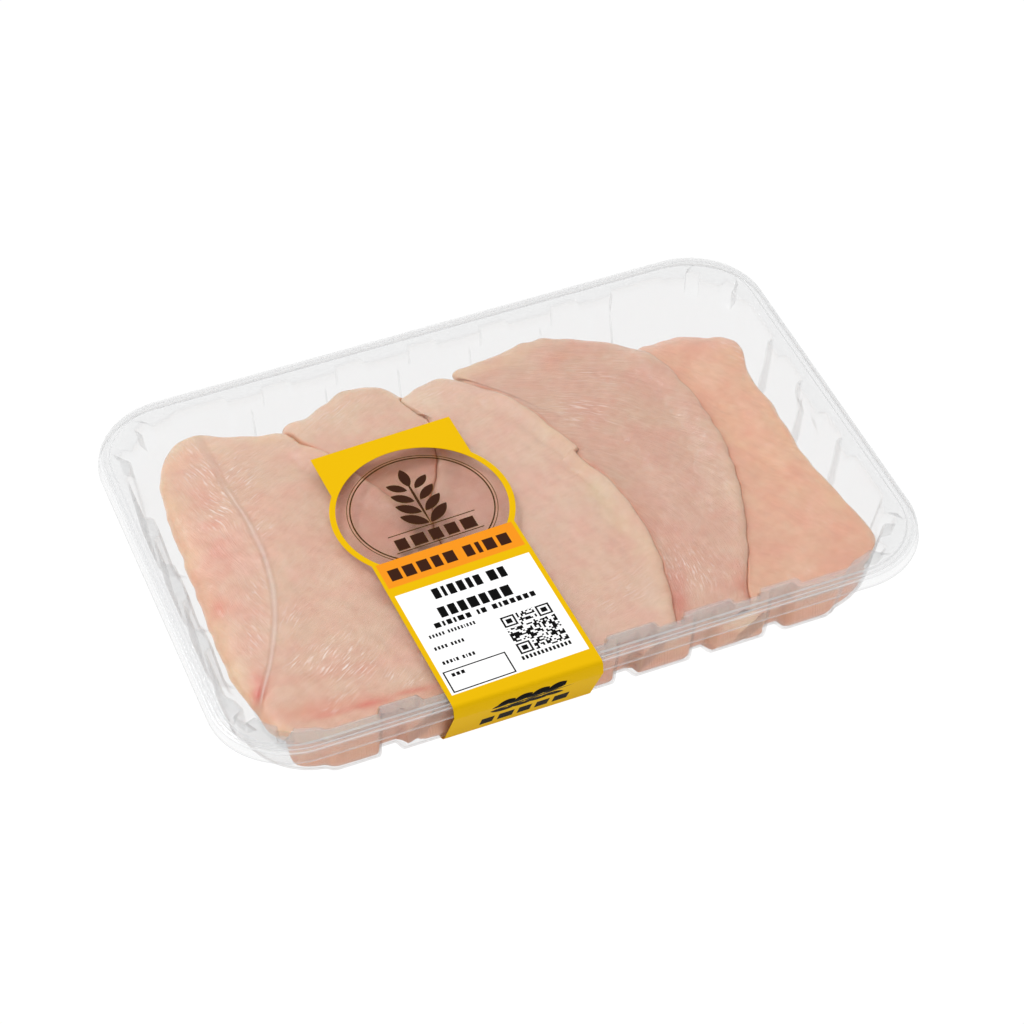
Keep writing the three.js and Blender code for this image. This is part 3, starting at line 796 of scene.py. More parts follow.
def within_tray(points):
    """Points moved back inside the tray's wall and base, less the wall's gap.

    A place past a side goes straight back to it, ribs included, and one past a corner goes back towards
    the corner's middle."""
    x, y, z = points[..., 0], points[..., 1], points[..., 2]
    radius = BASE_RADIUS - OUTSIDE - WALL_GAP
    start = math.atan(DRAFT[1])
    foot_z = BASE_RADIUS - radius * math.sin(start)
    floor = BASE_RADIUS - radius
    z = np.maximum(z, floor)
    depth = TRAY_HEIGHT - np.maximum(z, foot_z)
    turned = np.arcsin(np.clip((BASE_RADIUS - z) / radius, math.sin(start), 1))
    foot_inset = radius * (math.cos(start) - np.cos(turned))
    halves = [RIM_HALVES[k] - FLANGE_WIDTH - DRAFT[k] * depth - WALL_GAP - foot_inset for k in (0, 1)]
    relief = foot_share(np.degrees(turned), start)
    limit_x = halves[0] - rib_relief(y, depth, RIB_TOPS_SHORT, -WALL_GAP) * relief
    limit_y = halves[1] - rib_relief(x, depth, RIB_TOPS_LONG, -WALL_GAP) * relief
    x = np.sign(x) * soft_min(np.abs(x), limit_x, PRESS)
    y = np.sign(y) * soft_min(np.abs(y), limit_y, PRESS)
    corner = MOUTH_RADIUS - WALL_GAP
    past_x = np.maximum(np.abs(x) - (halves[0] - corner), 0)
    past_y = np.maximum(np.abs(y) - (halves[1] - corner), 0)
    past = np.hypot(past_x, past_y)
    angle = np.degrees(np.arctan2(past_y, past_x))
    panel = smooth(0, CORNER_EASE, angle) * smooth(0, CORNER_EASE, 90 - angle)
    allowed = corner - CORNER_INSET * panel * relief
    both = (past_x > 0) & (past_y > 0)
    scale = np.where(both, soft_min(past, allowed, PRESS) / np.maximum(past, 1e-6), 1)
    x = np.where(both, np.sign(x) * (halves[0] - corner + past_x * scale), x)
    y = np.where(both, np.sign(y) * (halves[1] - corner + past_y * scale), y)
    return np.stack([x, y, z], axis=-1)


def fillet_surface(fillet, over_it, rows):
    """A fillet's rings: its two faces over the outline, with relief on top, pressed under the pieces
    that lie on it and back inside the tray. Returns the rings, with one for each pole at the end, and
    each point's distance past the edges of the pieces over it."""
    reach, face = rows
    reach_grid = np.concatenate([reach, [0, 0]])[:, None]
    face_grid = np.concatenate([face, [-1, 1]])[:, None]
    flat = fillet.centre + (fillet.rim - fillet.centre) * reach_grid[:, :, None]
    x, y = flat[..., 0], flat[..., 1]
    middle = fillet.middle_height(x, y)
    relief = unevenness(x, y, RELIEF_SIZE, fillet.seed + 1) * RELIEF
    relief += unevenness(x, y, FINE_RELIEF_SIZE, fillet.seed + 2) * FINE_RELIEF
    relief = relief * (1 - reach_grid ** 6)
    if fillet.name == "fillet_top_1":
        relief = relief - tendon_groove(x, y)
    z = middle + fillet.rim_lift(x, y, reach_grid) + face_grid * fillet.edge_half(reach_grid)
    room = np.full_like(z, np.inf)
    edge_away = np.full_like(z, LIP_REACH)
    for piece in over_it:
        room_here, beyond = piece.room_under(x, y)
        room = np.minimum(room, room_here)
        edge_away = np.minimum(edge_away, beyond)
    squeezed = SQUEEZE * np.exp(-edge_away / SQUEEZE_REACH) * (1 - reach_grid ** 6)
    z += np.where(face_grid > 0, relief + squeezed, 0)
    near = np.isfinite(room)
    thin = np.where(face_grid > 0, 0.0, 0.2)
    z[near] = soft_min(z[near], (room - thin)[near], LIP_PRESS)
    points = within_tray(np.stack([x, y, z], axis=-1))
    return points, edge_away


def tendon_distance(x, y):
    """Distance to the right of the left fillet's tendon."""
    return x - np.polyval(TENDON_CURVE, np.clip(y, TENDON_Y[0] - 5, TENDON_Y[-1] + 5))


def tendon_share(x, y):
    """How much of the tendon is at a place: a bell across it, faded out at its two ends."""
    width = np.interp(y, TENDON_Y, TENDON_WIDTH)
    ends = smooth(TENDON_Y[0] - 2, TENDON_Y[0] + 2, y) * (1 - smooth(TENDON_Y[-1] - 2, TENDON_Y[-1] + 4, y))
    return np.exp(-(tendon_distance(x, y) / width) ** 2) * ends


def tendon_groove(x, y):
    """Depth of the shallow valley that the tendon lies in."""
    ends = smooth(TENDON_Y[0], TENDON_Y[0] + 15, y) * (1 - smooth(TENDON_Y[-1] - 10, TENDON_Y[-1], y))
    return 0.25 * np.exp(-(tendon_distance(x, y) / 4) ** 2) * ends


# Fibres: each fillet's own coordinates, along and across its fibres


def straight_fibres(x, y, degrees):
    """Fibres that all run one way."""
    angle = math.radians(degrees)
    bow = FIBRE_BOW * np.sin(x / 30 + y / 47)
    return x * math.cos(angle) + y * math.sin(angle), y * math.cos(angle) - x * math.sin(angle) + bow


def arched_fibres(x, y, centre):
    """Fibres that run in arcs round a point: along is the arc's length and across the distance from it."""
    dx, dy = x - centre[0], y - centre[1]
    return np.arctan2(dy, dx) * ARCH_LENGTH, np.hypot(dx, dy)


def feathered_fibres(x, y):
    """Fibres that slant away from the tendon to both sides, as in a feather."""
    right = smooth(-1.5, 1.5, tendon_distance(x, y))
    along_right, across_right = straight_fibres(x, y, 30)
    along_left, across_left = straight_fibres(x, y, -74)
    return mix(along_left, along_right, right), mix(across_left, across_right, right)


FIBRES = {
    "fillet_top_1": feathered_fibres,
    "fillet_top_2": lambda x, y: straight_fibres(x, y, 40),
    "fillet_top_3": lambda x, y: straight_fibres(x, y, 24),
    "fillet_top_4": lambda x, y: arched_fibres(x, y, (-13.5, -53)),
    "fillet_top_5": lambda x, y: straight_fibres(x, y, -60),
}

# Colours of the meat: each fillet's own, its edge's, and soft spots as X, Y, half length, half width,
# turn in degrees, strength and colour
MEAT_COLOURS = {
    "fillet_top_1": {"body": (220, 180, 156), "edge": (232, 197, 160)},
    "fillet_top_2": {"body": (219, 182, 158), "edge": (226, 194, 163)},
    "fillet_top_3": {"body": (220, 182, 160), "edge": (223, 190, 163)},
    "fillet_top_4": {"body": (213, 170, 147), "edge": (223, 184, 158)},
    "fillet_top_5": {"body": (226, 174, 145), "edge": (230, 182, 149)},
    # Painted light: the lower layer is given a paler tint than the top layer's to stand for the light it
    # gets where it shows through the near wall
    "fillet_low": {"body": (252, 204, 168), "edge": (252, 206, 168)},
}
MEAT_SPOTS = {
    "fillet_top_1": [
        (-112, 10, 50, 7, 86, 0.7, (232, 190, 158)), (-103, 14, 36, 8, 84, 0.6, (222, 160, 140)),
        (-110, -54, 8, 3.5, 75, 0.7, (216, 122, 99)), (-111, -12, 7, 3, 80, 0.5, (216, 132, 107)),
        (-96, -70, 22, 4, -12, 0.6, (219, 140, 113)), (-70, -76, 20, 4, -6, 0.45, (217, 146, 119)),
        (-84, -58, 14, 3, -10, 0.35, (216, 146, 123)), (-90, 66, 20, 8, 0, 0.5, (230, 196, 169)),
        (-40, -78, 24, 5, 0, 0.4, (216, 152, 127)), (-82, -74.6, 12, 1.3, -4, 0.8, (214, 118, 98)),
        (-64, -75.4, 9, 1.1, -8, 0.6, (216, 126, 106)), (-111, -55, 5, 2, 70, 0.7, (214, 104, 92)),
    ],
    "fillet_top_2": [(-46, 68, 22, 6, 20, 0.5, (226, 196, 167)), (-38, 30, 8, 10, 30, 0.5, (208, 140, 95))],
    "fillet_top_3": [
        (-4, 60, 18, 12, 0, 0.6, (225, 196, 169)), (16, -50, 18, 14, 60, 0.4, (220, 176, 151)),
        (32, -20, 60, 4, 96, 0.6, (219, 190, 155)), (36, -66, 14, 3, 70, 0.3, (214, 148, 121)),
    ],
    "fillet_top_4": [
        (20, 72, 26, 7, 6, 0.75, (226, 192, 159)), (46, 60, 9, 4, 30, 0.5, (212, 150, 123)),
        (42, -30, 40, 4, -68, 0.4, (206, 146, 119)), (60, -74, 9, 3, 80, 0.6, (205, 116, 91)),
        (36.5, -70, 10, 3.5, 66, 0.85, (206, 118, 96)), (30, -66, 26, 5, 80, 0.4, (212, 146, 122)),
    ],
    "fillet_top_5": [
        (100, 50, 24, 8, 0, 0.5, (221, 168, 143)), (92, -4, 40, 10, -76, 0.45, (230, 176, 141)),
        (110, -10, 50, 5, -88, 0.6, (233, 190, 149)), (76, -54, 16, 6, -70, 0.4, (219, 164, 139)),
    ],
}
TENDON_COLOUR = (240, 214, 200)
# Painted shade: reddish colour and strength of the shade painted into the crease past the edge of a piece
# lying on top
PAINTED_CREASE_SHADE_COLOUR = (214, 140, 108)
PAINTED_CREASE_SHADE_STRENGTH = 0.55
# Pale threads: partly the fibres' own pale tone, partly painted highlight of glints along the fibres
PALE_THREAD_AND_GLINT = (244, 222, 206)
# Painted highlight: near-white colour of the streaks that stand for wet glints
PAINTED_GLINT_COLOUR = (254, 244, 236)
# Painted glint spots: where near-white streaks and more pale threads are painted over the meat as
# highlights of wet glints, and the wet coat is bumpier: X, Y, half length, half width, turn and strength
PAINTED_GLINT_SPOTS = {
    "fillet_top_1": [
        (-86, 44, 14, 7, 80, 1.0), (-95, 55, 8, 5, 40, 0.8), (-97, 32, 10, 5, 80, 0.9),
        (-86, 16, 5, 4, 60, 0.8), (-90, -29, 6, 4, 40, 0.8), (-95, -47, 5, 4, 40, 0.7),
        (-83, -49, 8, 6, 30, 1.0),
        (-76, -57, 9, 6, 20, 1.0), (-96, -14, 8, 4, 80, 0.7), (-88, -70, 6, 3, 20, 0.8),
        (-66, -66, 4, 2, 10, 0.8), (-98, 68, 10, 3, 10, 0.6), (-52, -62, 4, 2, 30, 0.7),
        (-60, -71, 5, 2, 0, 0.7), (-40, -66, 5, 2, 10, 0.6), (-104, -30, 8, 3, 80, 0.6),
    ],
    "fillet_top_2": [(-40, 66, 14, 6, 20, 0.5)],
    "fillet_top_3": [(-2, 60, 10, 8, 0, 0.35), (20, -60, 12, 8, 30, 0.3)],
    "fillet_top_4": [(44, 30, 14, 8, -30, 0.6), (56, 44, 12, 5, -40, 0.5), (46, -58, 12, 8, -60, 0.6)],
    "fillet_top_5": [(112, 40, 6, 10, 0, 0.5)],
}


def spot_share(x, y, spot):
    """How much of a soft oval spot is at a place: a bell over its turned and stretched distance."""
    cx, cy, half_length, half_width, degrees, strength = spot[:6]
    angle = math.radians(degrees)
    along = (x - cx) * math.cos(angle) + (y - cy) * math.sin(angle)
    across = (y - cy) * math.cos(angle) - (x - cx) * math.sin(angle)
    return strength * np.exp(-(along / half_length) ** 2 - (across / half_width) ** 2)


def meat_tint(name, points, reach, edge_away):
    """Colour of the meat at each point: its body, then its edge, its spots and the tendon over it, and
    a reddish painted shade in the crease along the edges of the pieces that lie on it."""
    look = MEAT_COLOURS.get(name, MEAT_COLOURS["fillet_low"])
    x, y = points[:, 0], points[:, 1]
    edge = smooth(0.84, 1.0, reach + 0.03 * unevenness(x, y, 14, 7))[:, None]
    tint = mix(linear(*look["body"])[None, :], linear(*look["edge"]), edge * 0.8)
    for spot in MEAT_SPOTS.get(name, ()):
        ragged = 1 + 0.25 * unevenness(x, y, 9, 11)
        share = np.clip(spot_share(x, y, spot) * ragged, 0, 1)[:, None]
        tint = mix(tint, linear(*spot[-1]), share)
    if name == "fillet_top_1":
        tint = mix(tint, linear(*TENDON_COLOUR), 0.85 * tendon_share(x, y)[:, None])
    # Painted shade: darker and redder just past the edges of the pieces lying on this one
    painted_crease_shade = PAINTED_CREASE_SHADE_STRENGTH * np.exp(-(edge_away / PAINTED_CREASE_SHADE_WIDTH) ** 2)[:, None]
    return mix(tint, linear(*PAINTED_CREASE_SHADE_COLOUR), painted_crease_shade)


def build_fillet(fillet, over_it, rows, look):
    """A finished piece of meat with its tint and its fibres' coordinates."""
    rings, edge_away = fillet_surface(fillet, over_it, rows)
    piece = closed_surface("raw_" + fillet.name, rings[:-2], rings[-2, 0], rings[-1, 0])
    points = np.concatenate([rings[:-2].reshape(-1, 3), rings[-2:, 0]])
    reach = np.concatenate([np.repeat(rows[0], rings.shape[1]), [0, 0]])
    edge_away = np.concatenate([edge_away[:-2].ravel(), edge_away[-2:, 0]])
    add_colour(piece, "tint", meat_tint(fillet.name, points, reach, edge_away))
    # Where painted highlights of wet glints go on this piece
    spots = PAINTED_GLINT_SPOTS.get(fillet.name, ())
    painted_glint = sum((spot_share(points[:, 0], points[:, 1], spot) for spot in spots), np.zeros(len(points)))
    add_amount(piece, "painted_glint", np.minimum(painted_glint, 1))
    fibres = FIBRES.get(fillet.name, lambda x, y: straight_fibres(x, y, 60))
    along, across = fibres(points[:, 0], points[:, 1])
    wave = unevenness(points[:, 0], points[:, 1], FIBRE_WAVE_SIZE, fillet.seed + 3)
    across = across + FIBRE_WAVE * wave
    add_uv(piece, "fibres", np.stack([along, across], axis=-1))
    finish_piece(piece, look, fillet.name)
    return piece


def all_fillets():
    """The top five in the order that they lie in, from the top of the pile, then the lower five."""
    top = [Fillet(name, **shape) for name, shape in TOP_FILLETS.items()]
    low = []
    for index in range(LOW_COUNT):
        outline = [(x + LOW_FIRST_X + LOW_STEP * index, y) for x, y in LOW_OUTLINE]
        middle = LOW_MIDDLE + LOW_MIDDLE_STEP * index
        low.append(Fillet(f"fillet_low_{index + 1}", outline, middle, columns=LOW_COLUMNS, **LOW_SHAPE))
    return top, low


# Materials


def clear_plastic(name, look, tint, edge_tint, gloss, haze):
    """Thin clear sheet: it lets light straight through, darker where it turns away, and is glossy.

    Where the milk attribute is high, as on the welded flange, it lets less through and looks paler; the
    extra milk on the flange's bead, edge, step and skirt's lip paints highlight lines there."""
    nodes = Nodes(name)
    facing = nodes.add("ShaderNodeLayerWeight", inputs={"Blend": 0.5}).outputs["Facing"]
    turned = nodes.math("POWER", facing, 14.0)
    # The milk attribute holds the flange's milkiness and also the painted highlight lines of its bead,
    # edge, step and skirt's lip
    milk_and_highlight = nodes.add("ShaderNodeAttribute", attribute_name="milk_and_highlight").outputs["Fac"]
    milk_and_highlight_dim = nodes.times(milk_and_highlight, 0.12, clamp=True)
    dim = nodes.blend(milk_and_highlight_dim, nodes.blend(turned, tint, edge_tint), (0, 0, 0))
    clear = nodes.add("ShaderNodeBsdfTransparent", inputs={"Color": dim})
    sheen = nodes.math("MULTIPLY_ADD", nodes.math("POWER", facing, 9.0), 0.6, 0.02)
    solid = nodes.plus(nodes.times(sheen, gloss), nodes.times(milk_and_highlight, haze), clamp=True)
    body = nodes.add("ShaderNodeBsdfPrincipled", inputs={
        "Base Color": (*look.plastic, 1), "Roughness": 0.14, "Specular IOR Level": 0.9, "Coat Weight": 1.0,
        "Coat Roughness": 0.06,
    })
    return nodes.mixed(solid, clear, body)


def meat_material(name, look, fibre_contrast):
    """Wet raw meat: light soaks in, fine fibres mark the tint and surface, and a thin wet coat shines."""
    nodes = Nodes(name)
    tint = nodes.add("ShaderNodeAttribute", attribute_name="tint").outputs["Color"]
    fibres = nodes.add("ShaderNodeUVMap", uv_map="fibres").outputs["UV"]
    place = nodes.add("ShaderNodeTexCoord").outputs["Object"]

    def noise(vector, scale, size, detail=3.0):
        mapping = nodes.add("ShaderNodeMapping", inputs={"Vector": vector, "Scale": scale})
        return nodes.add("ShaderNodeTexNoise", inputs={
            "Vector": mapping.outputs[0], "Scale": size, "Detail": detail, "Roughness": 0.55,
        }).outputs["Fac"]

    strands = noise(fibres, (0.07, 0.7, 1), 1.0)
    threads = noise(fibres, (0.2, 3.4, 1), 1.0, 2.0)
    streaks = noise(fibres, (0.17, 1.5, 1), 1.0, 2.0)
    blotches = noise(place, (1, 1, 1), 75.0, 3.0)
    mottle = noise(place, (1, 1, 1), 260.0, 2.0)
    grain = noise(place, (1, 1, 1), 800.0, 2.0)
    wet_folds = noise(fibres, (0.2, 0.9, 1), 1.0, 4.0)
    shade = nodes.plus(nodes.times(strands, 0.35 * fibre_contrast),
                       nodes.plus(nodes.times(mottle, 0.45), nodes.times(grain, 0.25)))
    middle_shade = (0.35 * fibre_contrast + 0.7) / 2
    shade = nodes.ramp(shade, middle_shade - 0.17, middle_shade + 0.17)
    paler = nodes.blend(1.0, tint, (1.06, 1.09, 1.1), "MULTIPLY")
    deeper = nodes.blend(1.0, tint, (0.95, 0.9, 0.88), "MULTIPLY")
    plain = nodes.blend(shade, deeper, paler)
    pink = nodes.blend(1.0, plain, (1.02, 0.93, 0.94), "MULTIPLY")
    cream = nodes.blend(1.0, plain, (1.0, 1.03, 1.01), "MULTIPLY")
    ground = nodes.blend(nodes.ramp(blotches, 0.36, 0.64), cream, pink)
    dark_threads = nodes.times(nodes.ramp(threads, 0.42, 0.3), 0.4 * fibre_contrast)
    darkened = nodes.blend(dark_threads, ground, nodes.blend(1.0, ground, (0.94, 0.84, 0.81), "MULTIPLY"))
    painted_glint = nodes.add("ShaderNodeAttribute", attribute_name="painted_glint").outputs["Fac"]
    # Pale threads, in patches and more in the painted glint spots: partly the fibres' own tone, partly
    # painted highlight
    patchy = nodes.plus(nodes.ramp(blotches, 0.6, 0.4, 0.05, 0.35), painted_glint)
    light_threads_and_glints = nodes.times(nodes.ramp(threads, 0.56, 0.68), patchy, clamp=True)
    threaded = nodes.blend(nodes.times(light_threads_and_glints, 0.25 + 0.45 * fibre_contrast), darkened,
                           tuple(linear(*PALE_THREAD_AND_GLINT)))
    # Painted highlight: near-white streaks in the painted glint spots stand for wet glints
    glint_streak_mask = nodes.times(nodes.ramp(streaks, 0.57, 0.66), nodes.times(painted_glint, 0.8))
    colour = nodes.blend(glint_streak_mask, threaded, tuple(linear(*PAINTED_GLINT_COLOUR)))
    height = nodes.plus(nodes.times(threads, 1.2), nodes.times(grain, 0.3))
    bump = nodes.add("ShaderNodeBump", inputs={
        "Height": height, "Strength": look.fibre_bump * (0.6 + fibre_contrast), "Distance": 0.0004,
    })
    wet_height = nodes.plus(wet_folds, nodes.times(threads, 0.5))
    wet = nodes.add("ShaderNodeBump", inputs={
        "Height": nodes.times(wet_height, nodes.ramp(painted_glint, 0.0, 1.0, 0.45, 1.6)),
        "Strength": look.wet_bump, "Distance": 0.0012,
    })
    body = nodes.add("ShaderNodeBsdfPrincipled", inputs={
        "Base Color": colour, "Roughness": look.roughness, "Specular IOR Level": 0.4,
        "Subsurface Weight": look.soak, "Subsurface Radius": (1.0, 0.42, 0.28),
        "Subsurface Scale": look.soak_depth, "Coat Weight": look.wet, "Coat Roughness": look.wet_roughness,
        "Normal": bump.outputs[0], "Coat Normal": wet.outputs[0],
    })
    return nodes.output(body.outputs[0])


# Width of the soft edge of printed shapes, to each side
PRINT_SOFT = 0.05


class Print:
    """Fields of colour on the label, by distance across and along the strip in millimetres."""

    def __init__(self, nodes):
        self.nodes = nodes
        place = nodes.add("ShaderNodeUVMap", uv_map="print").outputs["UV"]
        split = nodes.add("ShaderNodeSeparateXYZ", inputs={0: place})
        self.x, self.y = split.outputs[0], split.outputs[1]

    def inside(self, distance):
        """1 where a signed distance is below zero, 0 above, with a soft edge."""
        return self.nodes.ramp(distance, -PRINT_SOFT, PRINT_SOFT, 1.0, 0.0)

    def outside_of(self, value, low, high):
        """How far a value is outside low to high, below zero within."""
        return self.nodes.minus(self.nodes.size_of(self.nodes.minus(value, (low + high) / 2)),
                                (high - low) / 2)

    def box(self, left, right, low, high):
        """An upright box."""
        across = self.outside_of(self.x, left, right)
        return self.inside(self.nodes.larger(across, self.outside_of(self.y, low, high)))

    def grown(self, box, width):
        """A box given as left, right, low and high, moved out by a width on every side."""
        left, right, low, high = box
        return self.box(left - width, right + width, low - width, high + width)

    def frame(self, box, width):
        """The outline of such a box."""
        return self.less(self.box(*box), self.grown(box, -width))

    def from_middle(self, x=0.0, y=0.0):
        """Distance from a point."""
        nodes = self.nodes
        dx, dy = nodes.minus(self.x, x), nodes.minus(self.y, y)
        return nodes.math("SQRT", nodes.plus(nodes.times(dx, dx), nodes.times(dy, dy)))

    def ring(self, radius, width):
        """A thin circle about the window's middle."""
        away = self.nodes.size_of(self.nodes.minus(self.from_middle(), radius))
        return self.inside(self.nodes.minus(away, width / 2))

    def leaf(self, x, y, half_length, half_width, degrees):
        """A pointed leaf: the overlap of two circles, turned."""
        angle = math.radians(degrees)
        radius = (half_length ** 2 + half_width ** 2) / (2 * half_width)
        offset = radius - half_width
        cx, cy = -math.sin(angle) * offset, math.cos(angle) * offset
        left = self.from_middle(x + cx, y + cy)
        right = self.from_middle(x - cx, y - cy)
        return self.inside(self.nodes.minus(self.nodes.larger(left, right), radius))

    def any_of(self, masks):
        """Where any of the masks is."""
        total = masks[0]
        for mask in masks[1:]:
            total = self.nodes.larger(total, mask)
        return total

    def less(self, mask, cut):
        """A mask with another cut out of it."""
        return self.nodes.times(mask, self.nodes.minus(1.0, cut))

    def word(self, left, right, low, high, widths, gap=0.5):
        """A row of plain blocks that fills a line where writing would be."""
        blocks = []
        unit = (right - left - gap * (len(widths) - 1)) / sum(abs(width) for width in widths)
        start = left
        for width in widths:
            end = start + abs(width) * unit
            if width > 0:
                blocks.append(self.box(start, end, low, high))
            start = end + gap
        return self.any_of(blocks)


# The window's sprig: a stem and pairs of leaves, as X, Y, half length, half width and turn
SPRIG = [(0.0, 5.0, 13.5, 0.45, 90.0), (0.0, 16.5, 4.6, 1.9, 90.0)] + [
    (side * 4.6, -4.0 + 5.6 * row, 5.4 - 0.5 * row, 2.1 - 0.15 * row, 90 - side * 52)
    for row in range(4) for side in (-1, 1)
]
WINDOW_RADIUS = 30.7
RINGS = ((26.7, 0.24), (25.6, 0.5))
BAND = (-31.2, -19.0)
BAND_HALF = 25.7
PANEL = (-84.7, -35.2)
PANEL_HALF = 25.2
CODE_BOX = (3.3, 21.3, -77.6, -59.4)
CODE_CELLS = 25
CODE_MARK_CELLS = 7
CODE_WHITE = 0.48
PRICE_BOX = (-24.2, -1.2, -84.0, -74.0)


def label_material(look):
    """Printed label: flat fields of colour and plain blocks over a satin sheet, with a clear window."""
    nodes = Nodes("printed_label")
    prints = Print(nodes)
    disc = prints.inside(nodes.minus(prints.from_middle(), WINDOW_RADIUS))
    above_band = prints.inside(nodes.minus(BAND[1], prints.y))
    window = nodes.times(disc, above_band)
    colour = nodes.blend(prints.box(-BAND_HALF, BAND_HALF, *BAND), look.yellow, look.orange)
    colour = nodes.blend(prints.box(-PANEL_HALF, PANEL_HALF, *PANEL), colour, look.white)
    brown_masks = [prints.ring(*ring) for ring in RINGS] + [prints.leaf(*leaf) for leaf in SPRIG]
    brown_masks += [prints.box(-16.6, 16.4, -8.5, -8.2), prints.box(-16.6, 16.4, -17.0, -16.7)]
    brown_masks.append(prints.word(-15.4, 14.6, -15.9, -10.6, (5, 6, 5, 5, 6), 1.7))
    in_window = nodes.times(prints.any_of(brown_masks), above_band)
    band_words = prints.word(-23.2, 22.0, -28.4, -23.0, (5, 5, 5, 4, 5, -1, 4, 2, 5, 5), 1.3)
    brown = prints.any_of([in_window, band_words])
    colour = nodes.blend(brown, colour, look.brown)
    black = prints.any_of([
        prints.word(-12.9, 14.3, -42.3, -37.3, (4, 2, 4, 4, 3, 4, -1, 5, 4), 0.95),
        prints.word(-14.4, 12.4, -51.1, -46.1, (4, 4, 4, 5, 4, 5, 5), 0.95),
        prints.word(-18.2, 19.2, -54.8, -52.4, (5, 2, 4, 2, 5, 4, -2, 2, 4, -2, 4, 2, 4, 4, 4, 4, 4), 0.7),
        prints.word(-21.9, -5.0, -58.4, -56.8, (2, 2, 2, 2, 2, -1, 2, 2, 2, 2, 2, 1, 2, 2, 2), 0.5),
        prints.word(-22.4, -11.6, -64.1, -62.5, (2, 2, 2, 2, -1, 2, 2, 2, 2), 0.5),
        prints.word(-22.4, -10.6, -71.1, -69.5, (2, 2, 2, 1, 2, -1, 2, 1, 2, 2), 0.5),
        prints.word(-21.7, -17.0, -77.2, -75.6, (2, 2, 2), 0.5),
        prints.word(2.8, 20.9, -80.2, -78.4, (2,) * 13, 0.55),
        prints.frame(PRICE_BOX, 0.55),
        code_block(nodes, prints),
        side_marks(prints),
    ])
    colour = nodes.blend(black, colour, look.black)
    clear = nodes.add("ShaderNodeBsdfTransparent", inputs={"Color": (*look.window, 1)})
    body = nodes.add("ShaderNodeBsdfPrincipled", inputs={
        "Base Color": colour, "Roughness": 0.6, "Specular IOR Level": 0.04,
    })
    see_through = nodes.times(prints.less(window, brown), look.window_clear)
    return nodes.mixed(see_through, body, clear)


def code_block(nodes, prints):
    """A square of small cells, each black or white by its own draw, with a framed dot in three corners."""
    left, right, low, high = CODE_BOX
    cell = (right - left) / CODE_CELLS
    mark = cell * CODE_MARK_CELLS
    corners = [(left, left + mark, high - mark, high), (right - mark, right, high - mark, high),
               (left, left + mark, low, low + mark)]
    dots = [prints.grown(corner, -2 * cell) for corner in corners]
    marks = prints.any_of([prints.frame(corner, cell) for corner in corners] + dots)
    ground = prints.any_of([prints.grown(corner, cell) for corner in corners])
    columns = nodes.math("FLOOR", nodes.math("DIVIDE", nodes.minus(prints.x, left), cell))
    rows = nodes.math("FLOOR", nodes.math("DIVIDE", nodes.minus(prints.y, low), cell))
    cells = nodes.add("ShaderNodeCombineXYZ", inputs={0: columns, 1: rows})
    draw = nodes.add("ShaderNodeTexWhiteNoise", inputs={"Vector": cells.outputs[0]}).outputs["Value"]
    dark = nodes.math("GREATER_THAN", draw, CODE_WHITE)
    return prints.any_of([prints.less(nodes.times(dark, prints.box(*CODE_BOX)), ground), marks])


def side_marks(prints):
    """The folded side's print: a small sprig over a row of blocks."""
    stem = prints.leaf(2.0, -100.0, 15.0, 0.9, 4.0)
    leaves = [prints.leaf(-9.0 + 6.2 * row, -100.0 + side * 3.6, 4.6, 2.2, 24 * side) for row in range(4)
              for side in (-1, 1)]
    words = prints.word(-15.0, 17.0, -118.5, -110.5, (6, 7, 6, 6, 7), 1.7)
    return prints.any_of([stem, words] + leaves)


def studio_material(name, colour, glow, backdrop):
    """Pale matt paper that glows a little, and shows as plain white where it is looked at directly."""
    nodes = Nodes(name)
    body = nodes.add("ShaderNodeBsdfPrincipled", inputs={
        "Base Color": (*colour, 1), "Roughness": 0.9, "Specular IOR Level": 0.1,
        "Emission Color": (1, 1, 1, 1), "Emission Strength": glow,
    })
    plain = nodes.add("ShaderNodeEmission", inputs={"Color": (1, 1, 1, 1), "Strength": backdrop})
    looked_at = nodes.add("ShaderNodeLightPath").outputs["Is Camera Ray"]
    return nodes.mixed(looked_at, body, plain)


def sky_world(low, high):
    """World whose light grows with the sine of the height, from its value at the horizon."""
    world = bpy.data.worlds.new("studio")
    world.use_nodes = True
    tree = world.node_tree
    direction = tree.nodes.new("ShaderNodeTexCoord")
    split = tree.nodes.new("ShaderNodeSeparateXYZ")
    rise = tree.nodes.new("ShaderNodeMapRange")
    for key, value in (("From Min", 0.0), ("From Max", 1.0), ("To Min", low), ("To Max", high)):
        rise.inputs[key].default_value = value
    tree.links.new(direction.outputs["Generated"], split.inputs[0])
    tree.links.new(split.outputs[2], rise.inputs["Value"])
    tree.links.new(rise.outputs["Result"], tree.nodes["Background"].inputs["Strength"])
    tree.nodes["Background"].inputs["Color"].default_value = (1, 1, 1, 1)
    return world


# Settings


def colour_setting(name, description, red, green, blue):
    """A colour property, given in sRGB from 0 to 255."""
    return bpy.props.FloatVectorProperty(
        name=name, description=description, subtype="COLOR", size=3, min=0, max=1,
        default=tuple(float(value) for value in linear(red, green, blue)))


def number_setting(name, description, default, **more):
    """A number property."""
    return bpy.props.FloatProperty(name=name, description=description, default=default, **more)


def share_setting(name, description, default):
    """A number property that is a share."""
    return number_setting(name, description, default, subtype="FACTOR")


